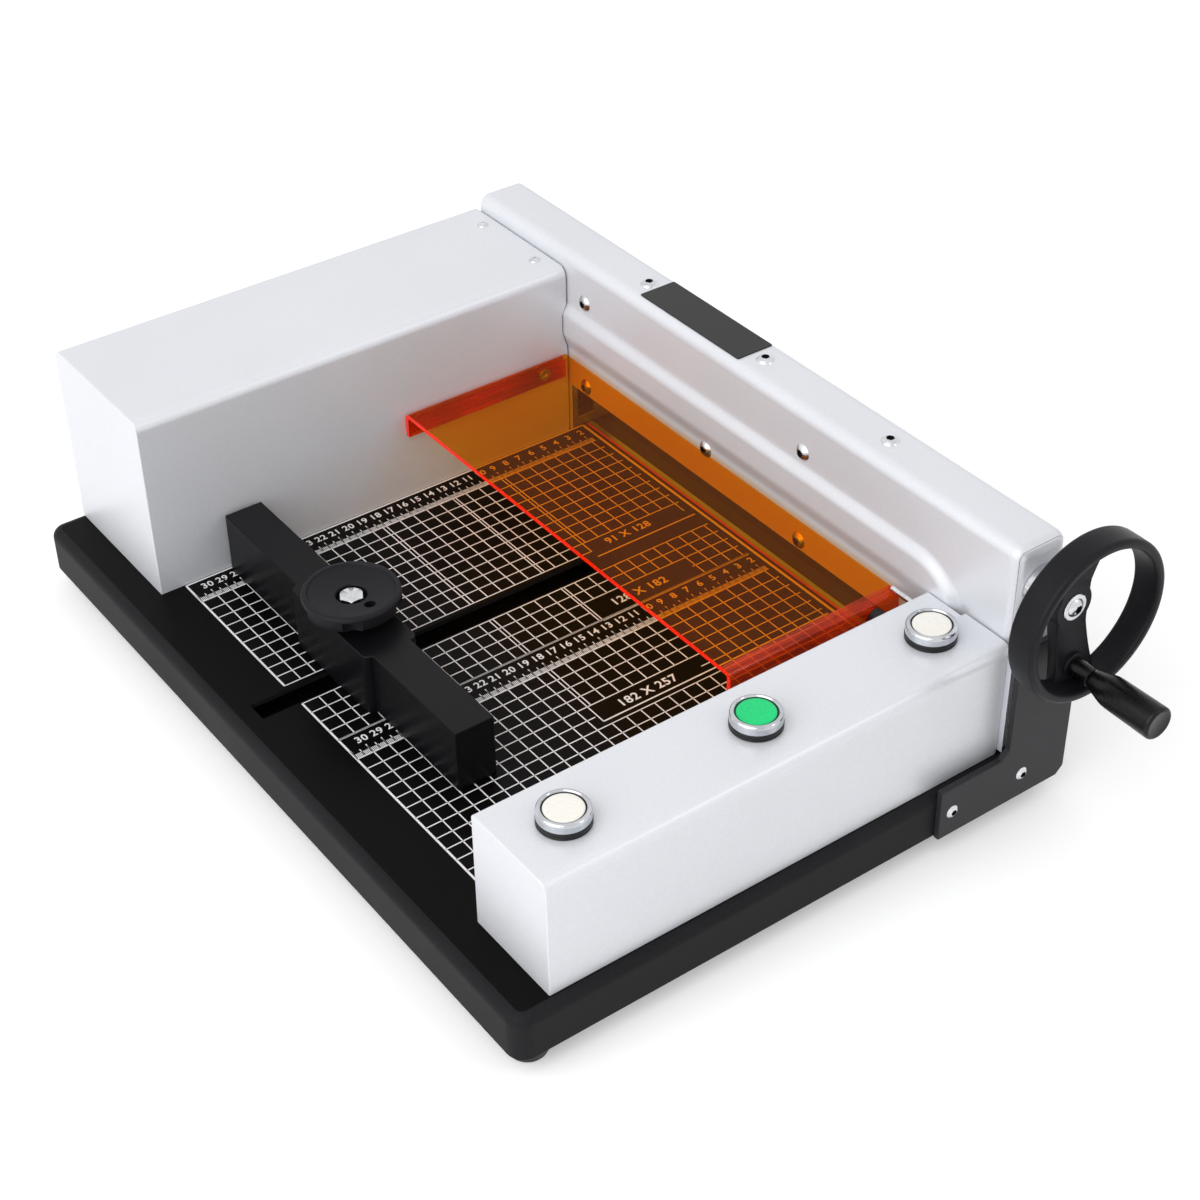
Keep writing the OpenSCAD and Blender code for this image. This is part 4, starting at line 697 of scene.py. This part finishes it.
class CUTTER_OT_beam(bpy.types.Operator):
    """Knife beam cover with its raised band, blank plate and side plate"""

    bl_idname = "cutter.beam"
    bl_label = "Knife beam"

    def execute(self, context):
        face, back, top, radius = BEAM_FACE, 14.5, 132, 7
        low_y, high_y = [corner.y for corner in span("beam_cover")]
        band_low, band_top, band_rear, rise, slope, proud = 62, 97.5, 60, 14, 9.5, 4
        turn_y, turn_z, turn_radius = -332, 55, 42.5

        def eased(share):
            """A smooth step from 0 to 1."""
            share = min(max(share, 0), 1)
            return share * share * (3 - 2 * share)

        def band(y, z):
            """How far the raised band stands proud at a point of the face."""
            inside = min(band_top - z, band_rear - y)
            if y < turn_y:
                inside = min(inside, turn_radius - math.hypot(y - turn_y, z - turn_z))
            return proud * eased(inside / slope) * eased((z - band_low) / rise)

        heights = [0, 20, 36, 50, 60] + [band_low + k for k in range(36)] + [100, 106, 112, 118, 125]

        def ring(y, inset):
            """The beam's section with its band, drawn in."""
            points = [(face + inset - band(y, z), z) for z in heights]
            points += arc((face + radius, top - radius), max(radius - inset, 0.02), 180, 90, 8)[1:]
            points += arc((back - radius, top - radius), max(radius - inset, 0.02), 90, 0, 8)
            points += [(back - inset, 60), (back - inset, 0)]
            return raised(points, "Y", y)

        rings = [ring(*spot) for spot in arc((low_y + radius, radius), radius, 180, 270, 9)]
        rings += [ring(y, 0) for y in (-388, -378)]
        rings += [ring(-374 + 1.5 * k, 0) for k in range(31)]
        rings += [ring(y, 0) for y in (-320, -240, -160, -80, 0, 30, 50, 53, 56, 60, high_y - 1.1, high_y - 0.3)]
        rings += [ring(high_y, 0.3)]
        shell = loft(rings)
        hollow = prism(rectangle((face + 2, -5), (back - 2, top - 2), (0, 0, 5, 5)), "Y", low_y + 2, high_y - 2)
        shell = carved(shell, hollow)
        # The open throat, then holes for the two shafts
        cuts = block((face - 9, -345, -5), (back + 5, 0, 36))
        wheel = middle("line_shaft")
        rod(8.1, 9, (wheel.x, low_y - 4, wheel.z), (0, 1, 0), bm=cuts)
        drive = middle("drive_pinion")
        rod(8, 9, (face - 4, drive.y, drive.z), (1, 0, 0), bm=cuts)
        made = piece(carved(shell, cuts), "beam_shell", "frame", "silver plate", ("beam_cover",), crease=32)
        # The faces at the beam's rear end take the second, dark charcoal finish
        for part in made.data.polygons:
            if part.center.y > ORIGIN.y + (high_y - 0.7) * MM:
                part.material_index = 1

        plate = [raised(rectangle((-16.2 + i, -166.2 + i), (10.2 - i, -70.4 - i), (1.2 - i,) * 4, 5), "Z", top + h)
                 for i, h in ((0, 0.05), (0, 0.5), (0.25, 0.7))]
        piece(loft(plate), "blank_plate", "frame", "blank")

        foot = span("front_housing")
        strip = rectangle((face - 2.5, low_y - 2), (face + 4, foot[0].y + 0.4), (3, 2, 0, 3), 6)
        rings = [raised(strip, "Z", h) for h in (1.5, foot[1].z - 2)]
        piece(loft(rings), "beam_strip", "frame", "silver", soft=0.8)

        low, high = span("side_plate")
        inner, bevel = face - 5.5, 5
        shape = [(low.x, low.z), (high.x - bevel, low.z), (high.x, low.z + bevel), (high.x, high.z), (inner, high.z)]
        shape += [(inner, 5 + bevel), (inner - bevel, 5), (low.x, 5)]
        piece(prism(shape, "Y", low.y, high.y), "bracing_plate", "frame", "plate", ("side_plate",), soft=0.7)
        return {"FINISHED"}


class CUTTER_OT_screws(bpy.types.Operator):
    """Button-head screws of beam, housing, side plate and handwheel"""

    bl_idname = "cutter.screws"
    bl_label = "Screws"

    def execute(self, context):
        top = span("beam_cover")[1].z
        reach = span("front_housing")[1].y
        places = [((-3.5, k * -reach, top), (0, 0, 1)) for k in (-0.182, -0.51, -0.826)]
        rows = [0.054 * reach, 0.417 * reach, 0.675 * reach]
        for y, z in ((rows[0], 42), (rows[0], 104), (rows[1], 59.5), (rows[2], 42), (rows[2], 104)):
            places.append(((BEAM_FACE, y, z), (-1, 0, 0)))
        screws("beam_screw_heads", "frame", "beam_screws", 5.5, places)
        low, high = span("side_plate_screws")
        at = [((low.x + 5, low.y + 2.4, high.z - 5), (0, -1, 0)), ((high.x - 5, low.y + 2.4, low.z + 5), (0, -1, 0))]
        screws("side_plate_screw_heads", "frame", "side_plate_screws", 4.2, at)
        low, high = span("rear_housing_screws")
        roof = span("rear_housing")[1].z
        at = [((low.x + 3.8, y, roof), (0, 0, 1)) for y in (low.y + 3.8, high.y - 3.8)]
        screws("housing_screw_heads", "frame", "rear_housing_screws", 3.8, at, "zinc")
        hub = middle("handwheel_screw")
        seat = span("handwheel_screw")[0].y + 2.64
        screws("wheel_screw_head", "handwheel", "handwheel_screw", 5.5, [((hub.x, seat, hub.z), (0, -1, 0))])
        washer = [(5.0, -0.05), (7.6, -0.05), (8.0, -0.4), (8.0, -0.9), (7.7, -1.2), (5.0, -1.2), (5.0, -0.05)]
        piece(turned(washer, (hub.x, seat, hub.z), (0, -1, 0)), "wheel_washer", "handwheel", "zinc")
        return {"FINISHED"}


class CUTTER_OT_guard(bpy.types.Operator):
    """Clear orange guard with bent ends, and its pivots"""

    bl_idname = "cutter.guard"
    bl_label = "Guard"

    def execute(self, context):
        low, high = span("guard")
        sheet, bend = 3, 4.5
        outer = rectangle((low.y, low.z), (high.y, high.z), (0, 0, bend, bend), 6)
        inner = rectangle((low.y + sheet, low.z - 5), (high.y - sheet, high.z - sheet), (0, 0, 1.5, 1.5), 6)
        shell = carved(prism(outer, "X", low.x, high.x), prism(inner, "X", low.x - 5, high.x + 5))
        bmesh.ops.bisect_plane(shell, geom=shell.verts[:] + shell.edges[:] + shell.faces[:],
                               plane_co=(0, low.y + 9, 0), plane_no=(0, 1, 0))
        pivot = middle("guard_pivot_screws")
        holes = rod(3.05, 600, (pivot.x, low.y - 50, pivot.z), (0, 1, 0))
        made = piece(carved(shell, holes), "acrylic_guard", "guard", "acrylic acrylic_edge acrylic_bend", ("guard",))
        for face in made.data.polygons:
            at = (face.center - ORIGIN) / MM
            # The free edge facing the table takes the painted glow
            if face.normal.x < -0.9:
                face.material_index = 1
            # Bends and end flanges take the painted light streaks
            elif at.y < low.y + 8.9 or at.y > high.y - bend or at.z < high.z - bend:
                face.material_index = 2
        softened("guard_pivot_screws", "pivot_screws", "frame", "zinc", 0.3)
        softened("guard_spacer", "pivot_spacer", "frame", "blackened_and_socket_shade", 0.3)
        softened("guard_stop_pin", "stop_pin", "frame", "zinc", 0.3)
        return {"FINISHED"}


class CUTTER_OT_gauge(bpy.types.Operator):
    """Back gauge bar with its boss, dished knob and bolt"""

    bl_idname = "cutter.gauge"
    bl_label = "Back gauge"

    def execute(self, context):
        low, high = span("gauge_bar")
        x, y = middle("gauge_bolt").xy
        half, boss, reach, radius = 12.5, 17.5, 42, 5
        shape = [(x - half, low.y), (x + half, low.y), (x + half, y - reach)]
        shape += arc((x + boss - radius, y - reach + radius), radius, -90, 0, 5)
        shape += arc((x + boss - radius, y + reach - radius), radius, 0, 90, 5)
        shape += [(x + half, y + reach), (x + half, high.y), (x - half, high.y), (x - half, y + reach)]
        shape += arc((x - boss + radius, y + reach - radius), radius, 90, 180, 5)
        shape += arc((x - boss + radius, y - reach + radius), radius, 180, 270, 5) + [(x - half, y - reach)]
        piece(prism(shape, "Z", low.z, high.z), "gauge_rail", "gauge", "anodised", ("gauge_bar",), soft=0.7)
        softened("gauge_washer", "gauge_disc", "gauge", "zinc", 0.2)
        softened("gauge_t_nut", "gauge_slider", "gauge", "ground", 0.3)

        base, crown = span("gauge_knob")[0].z, span("gauge_knob")[1].z
        hub, rim, dish, lip = 13, 28.7, 3.5, 0.9
        seat = base + 4
        profile = [(0, base), (hub - 0.6, base), (hub, base + 0.6), (hub, seat - 0.8), (hub + 0.8, seat)]
        profile += [(rim - 3, seat)] + arc((rim - 3, seat + 3), 3, -90, 0, 6)
        profile += arc((rim - 2.2, crown - 2.2), 2.2, 0, 90, 6) + [(rim - 3.4, crown)]
        ball = ((rim - 4) ** 2 + (dish - lip) ** 2) / (2 * (dish - lip))
        for r in (rim - 4, 22, 19.5, 17, 14, 11, 9.6):
            profile.append((r, crown - dish + ball - math.sqrt(ball * ball - r * r)))
        profile += [(9, crown - dish - 0.3), (9, crown - dish - 5), (0, crown - dish - 5)]
        knob = turned(profile, (x, y, 0), segments=120)
        # Five finger notches round the rim, and one hole in the dish
        cuts = bmesh.new()
        for u, v in arc((x, y), 31.3, -120, 168, 4):
            rod(6.5, crown - seat - 1.6, (u, v, seat - 1), segments=40, bm=cuts)
        u, v = arc((x, y), 15.7, -79, 0, 1)[0]
        rod(3.4, 12, (u, v, seat + 1), segments=32, bm=cuts)
        piece(carved(knob, cuts), "clamping_knob", "gauge_knob", "abs", ("gauge_knob",), soft=0.35)

        seat = crown - dish - 5
        head = prism(arc((x, y), 7.5, 0, 300, 5), "Z", seat, seat + 5)
        crownwork = turned([(0, 0), (8.2, 0), (8.2, 4.0), (6.6, 5.0), (0, 5.0)], (x, y, seat), segments=48)
        head = carved(head, crownwork, "INTERSECT")
        piece(head, "gauge_bolt_head", "gauge_knob", "zinc", ("gauge_bolt",), soft=0.25)
        return {"FINISHED"}


class CUTTER_OT_buttons(bpy.types.Operator):
    """Push buttons with collars, chrome bezels and caps"""

    bl_idname = "cutter.buttons"
    bl_label = "Buttons"

    def execute(self, context):
        caps = (("left_start_cap", "start_left", "left_start_button", "cream"),
                ("reset_cap", "reset", "reset_button", "green"),
                ("right_start_cap", "start_right", "right_start_button", "cream"))
        roof = span("front_housing")[1].z
        collars, bezels = bmesh.new(), bmesh.new()
        for node, body, name, key in caps:
            at = middle(node)
            place = (at.x, at.y, roof)
            # Gasket and collar, then the bezel and the black ring inside it
            profile = [(11.0, 0), (13.9, 0)] + arc((13.8, 0.7), 0.6, -60, 60, 4) + [(13.9, 1.4)]
            profile += [(14.4, 1.8), (14.4, 3.6), (14.1, 4.0), (11.0, 4.0), (11.0, 0)]
            turned(profile, place, bm=collars)
            profile = [(11.4, 4), (13.8, 4.0), (14.2, 4.4), (14.2, 7.0)] + arc((12.4, 7.9), 1.8, 0, 80, 6)
            profile += [(12.1, 9.8), (11.7, 9.5), (11.4, 9.0), (11.4, 4)]
            turned(profile, place, bm=bezels)
            turned([(10.75, 4), (11.35, 4), (11.35, 8.8), (10.75, 8.8), (10.75, 4)], place, bm=collars)
            low, high = span(node)
            crown = high.z
            face = [(0, crown - 3.7), (10.5, crown - 3.7), (10.7, crown - 3.5), (10.7, crown - 0.9)]
            face += arc((9.9, crown - 0.8), 0.8, 0, 80, 4) + [(8, crown - 0.12), (4, crown - 0.03), (0, crown)]
            cap = turned(face, (at.x, at.y, 0))
            rod(4, crown - 3.6 - low.z, (at.x, at.y, low.z), segments=32, bm=cap)
            piece(cap, name, body, key, (node,))
        piece(collars, "collar_rings", "frame", "polyamide", ("button_collars",))
        piece(bezels, "bezel_rings", "frame", "chrome", ("button_bezels",))
        softened("button_bodies", "switch_bodies", "frame", "polyamide")
        softened("button_nuts", "switch_nuts", "frame", "polyamide")
        return {"FINISHED"}


class CUTTER_OT_handwheel(bpy.types.Operator):
    """Handwheel with deep rim, flared spokes, spindle and grip"""

    bl_idname = "cutter.handwheel"
    bl_label = "Handwheel"

    def execute(self, context):
        hub = middle("handwheel")
        back = span("handwheel")[1].y
        place = Vector((hub.x, back, hub.z))
        out, inner, rear, front = 49, 43, 9, 27
        profile = arc((out - 2.5, rear + 2.5), 2.5, -90, 0, 5) + [(out, rear + 9), (out - 0.1, front - 2.9)]
        profile += arc((out - 2.6, front - 2.5), 2.5, 0, 90, 6) + arc((inner + 2.2, front - 2), 2, 90, 180, 6)
        profile += [(inner, front - 5), (inner, rear + 2)] + arc((inner + 2, rear + 2), 2, 180, 270, 4)
        rim = turned(profile + [profile[0]], place, (0, -1, 0), segments=128)

        # Each spoke widens and rises from the hub to the rim
        rings, reach, steps = [], 44.5, 32
        for k in range(steps + 1):
            z = -reach + 2 * reach * k / steps
            rise = max(abs(z) - 13, 0) / 33
            half = 11 + 4.5 * (abs(z) / reach) ** 3
            low, high = (hub.x - half, back - 9 - 7 * rise), (hub.x + half, back - 1 - 8.5 * rise)
            rings.append(raised(rectangle(low, high, (1.2,) * 4, 3), "Z", hub.z + z))
        wheel = carved(rim, loft(rings), "UNION")
        boss = turned([(0, 0.1), (13, 0.1), (13, 8.4), (12.4, 9), (0, 9)], place, (0, -1, 0), segments=64)
        wheel = carved(wheel, boss, "UNION")
        crank = place + Vector((0, 0, -36))
        boss = turned([(0, 5.6), (8, 5.6), (8, 14.4), (7.4, 15), (0, 15)], crank, (0, -1, 0), segments=48)
        wheel = carved(wheel, boss, "UNION")
        piece(wheel, "handwheel_casting", "handwheel", "abs", ("handwheel",), soft=0.4, crease=40)

        spindle = [(0, 5.6), (3.5, 5.6), (3.5, 15), (5.2, 15), (5.5, 15.3), (5.5, 27.2), (5.2, 27.5), (3.5, 27.5)]
        spindle = turned(spindle + [(3.5, 69.6), (0, 69.6)], crank, (0, -1, 0), segments=48)
        piece(spindle, "crank_spindle", "handwheel", "phenolic", ("handle_spindle",))
        end = span("handle_grip")
        length = end[1].y - end[0].y
        grip = [(3.55, 0), (5.2, 0), (5.5, 0.3), (6.2, 3), (7.4, 7), (8.6, 11), (9.1, 13.5), (9.3, 17), (9.45, 28)]
        grip += [(9.7, length - 2.6)] + arc((7.75, length - 1.95), 1.95, 0, 90, 6) + [(7.2, length - 0.2)]
        grip += [(0, length - 0.2), (0, length - 4.6), (3.55, length - 4.6), (3.55, 0)]
        grip = turned(grip, (crank.x, end[1].y, crank.z), (0, -1, 0), segments=56)
        piece(grip, "crank_grip", "handle_grip", "phenolic", ("handle_grip",))
        return {"FINISHED"}


class CUTTER_OT_inside(bpy.types.Operator):
    """Working parts inside the housings and the sockets on the rear wall"""

    bl_idname = "cutter.inside"
    bl_label = "Working parts"

    def execute(self, context):
        parts = (
            ("bottom_plate", "frame", "powder", 0.3), ("foot_screws", "frame", "zinc", 0.2),
            ("beam_bridge", "frame", "ground", 0.5), ("front_post", "frame", "ground", 0.4),
            ("rear_post", "frame", "ground", 0.4), ("clamp_guide_strips", "frame", "bronze", 0.2),
            ("cutting_stick", "frame", "stick", 0.2), ("stick_channel", "frame", "ground", 0.2),
            ("line_shaft", "handwheel", "ground", 0.2), ("shaft_bevel_gears", "handwheel", "bronze", 0),
            ("front_lead_screw", "front_screw", "ground", 0), ("rear_lead_screw", "rear_screw", "ground", 0),
            ("lead_screw_feet", "frame", "bronze", 0.3), ("lead_screw_blocks", "frame", "ground", 0.3),
            ("clamp_bar", "clamp", "blackened_and_socket_shade", 0.5), ("clamp_nuts", "clamp", "bronze", 0.3),
            ("knife_carrier", "knife", "ground", 0.4), ("knife_blade", "knife", "knife", 0),
            ("knife_screws", "knife", "zinc", 0), ("drive_rack", "knife", "ground", 0),
            ("drive_pinion", "drive", "bronze", 0), ("drive_shaft", "drive", "ground", 0.2),
            ("gearbox", "frame", "motor", 1.0), ("gear_motor", "frame", "motor", 0.8),
            ("motor_bracket", "frame", "ground", 0.4), ("control_board", "frame", "laminate", 0.2),
            ("limit_switch", "frame", "polyamide", 0.3), ("mains_inlet", "frame", "polyamide", 0.5),
            ("switch_frame", "frame", "polyamide", 0.4), ("power_rocker", "rocker", "polyamide", 0.5),
        )
        for node, body, key, soft in parts:
            softened(node, node + "_dressed", body, key, soft)
        bush = softened("shaft_bushes", "shaft_bushes_dressed", "frame", "zinc", 0.8)
        axis, face = ORIGIN + middle("line_shaft") * MM, ORIGIN.y + (span("beam_cover")[0].y + 0.1) * MM
        # The front bush's flange is drawn in to the size that shows beside the handwheel
        flange, shown = 17, 13.5
        for vertex in bush.data.vertices:
            out = Vector((vertex.co.x - axis.x, 0, vertex.co.z - axis.z))
            if vertex.co.y < face and out.length > (flange - 2) * MM:
                vertex.co -= out * ((flange - shown) / flange)
        return {"FINISHED"}


def seen_directly(tree):
    """Output that is 1 for what the camera, a reflection or clear plastic shows, and 0 for light on the cutter."""
    rays = add_node(tree, "ShaderNodeLightPath").outputs
    mirrored = add_node(tree, "ShaderNodeMath", {
        0: rays["Is Camera Ray"], 1: rays["Is Glossy Ray"]}, operation="MAXIMUM")
    clear = add_node(tree, "ShaderNodeMath", {
        0: mirrored.outputs[0], 1: rays["Is Transmission Ray"]}, operation="MAXIMUM")
    return clear.outputs[0]


class CUTTER_OT_stage(bpy.types.Operator):
    """Pale floor, soft light and camera"""

    bl_idname = "cutter.stage"
    bl_label = "Stage"

    def execute(self, context):
        stage = context.scene.cutter_stage
        scene = context.scene
        scene.view_settings.view_transform = "Standard"

        # The stage is in metres, with the floor just under the feet
        half, thick, below = 6, 0.05, 0.0005
        floor = prism(rectangle((-half, -half), (half, half), (0,) * 4), "Z", -thick, -below)
        ground = loose_object(tidy(floor), "studio_floor")
        paper = bpy.data.materials.new("White studio paper")
        paper.use_nodes = True
        tree = paper.node_tree
        shader = tree.nodes["Principled BSDF"]
        shader.inputs["Base Color"].default_value = linear("#f4f4f4")
        shader.inputs["Roughness"].default_value = 0.9
        shader.inputs["Emission Color"].default_value = (1, 1, 1, 1)
        glow = add_node(tree, "ShaderNodeMath", {0: seen_directly(tree), 1: stage.floor}, operation="MULTIPLY")
        tree.links.new(glow.outputs[0], shader.inputs["Emission Strength"])
        ground.data.materials.append(paper)

        world = bpy.data.worlds.new("Studio")
        scene.world = world
        world.use_nodes = True
        tree = world.node_tree
        tree.nodes.clear()
        strength = add_node(tree, "ShaderNodeMapRange", {
            "Value": seen_directly(tree), "To Min": stage.sky, "To Max": 1.0})
        sky = add_node(tree, "ShaderNodeBackground", {
            "Color": (1, 1, 1, 1), "Strength": strength.outputs["Result"]})
        add_node(tree, "ShaderNodeOutputWorld", {"Surface": sky.outputs["Background"]})

        aim = Vector((0, 0, 0.1))
        for name, place, power, size in (("Key", (-2.35, -0.5, 2.0), stage.key, 3.8),
                                         ("Fill", (1.2, -1.75, 1.75), 0.05 * stage.key, 0.5)):
            lamp = bpy.data.lights.new(name, "AREA")
            lamp.energy = power
            lamp.shape = "DISK"
            lamp.size = size
            made = bpy.data.objects.new(name, lamp)
            made.location = place
            made.rotation_euler = (aim - Vector(place)).to_track_quat("-Z", "Y").to_euler()
            scene.collection.objects.link(made)

        lens = bpy.data.cameras.new("Camera")
        lens.lens = stage.lens
        lens.sensor_width = 36
        lens.sensor_fit = "HORIZONTAL"
        lens.clip_start = 0.05
        camera = bpy.data.objects.new("Camera", lens)
        camera.location = stage.place
        camera.rotation_euler = stage.turn
        scene.collection.objects.link(camera)
        scene.camera = camera
        return {"FINISHED"}


OPERATORS = (CUTTER_OT_base, CUTTER_OT_print, CUTTER_OT_housings, CUTTER_OT_beam, CUTTER_OT_screws, CUTTER_OT_guard,
             CUTTER_OT_gauge, CUTTER_OT_buttons, CUTTER_OT_handwheel, CUTTER_OT_inside, CUTTER_OT_stage)


class CUTTER_PT_panel(bpy.types.Panel):
    """Lists the cutter's pieces and sizes"""

    bl_idname = "CUTTER_PT_panel"
    bl_label = "Paper cutter"
    bl_space_type = "VIEW_3D"
    bl_region_type = "UI"
    bl_category = "Cutter"

    def draw(self, context):
        column = self.layout.column()
        for group in (context.scene.cutter_sizes, context.scene.cutter_colours, context.scene.cutter_stage):
            for key in group.bl_rna.properties.keys():
                if key not in ("rna_type", "name"):
                    column.prop(group, key)
        for operator in OPERATORS:
            column.operator(operator.bl_idname)


GROUPS = (CutterSizes, CutterColours, CutterStage)


def register():
    """Makes the operators, the panel and the settings known to Blender."""
    for kind in GROUPS + OPERATORS + (CUTTER_PT_panel,):
        bpy.utils.register_class(kind)
    bpy.types.Scene.cutter_sizes = bpy.props.PointerProperty(type=CutterSizes)
    bpy.types.Scene.cutter_colours = bpy.props.PointerProperty(type=CutterColours)
    bpy.types.Scene.cutter_stage = bpy.props.PointerProperty(type=CutterStage)


def unregister():
    """Takes back what register did."""
    del bpy.types.Scene.cutter_stage
    del bpy.types.Scene.cutter_colours
    del bpy.types.Scene.cutter_sizes
    for kind in reversed(GROUPS + OPERATORS + (CUTTER_PT_panel,)):
        bpy.utils.unregister_class(kind)


def main():
    """Makes the settings known, then builds the whole cutter and its stage."""
    register()
    make_finishes(bpy.context.scene.cutter_colours)
    bpy.ops.cutter.base()
    bpy.ops.cutter.print()
    bpy.ops.cutter.housings()
    bpy.ops.cutter.beam()
    bpy.ops.cutter.screws()
    bpy.ops.cutter.guard()
    bpy.ops.cutter.gauge()
    bpy.ops.cutter.buttons()
    bpy.ops.cutter.handwheel()
    bpy.ops.cutter.inside()
    bpy.ops.cutter.stage()


if __name__ == "__main__":
    main()
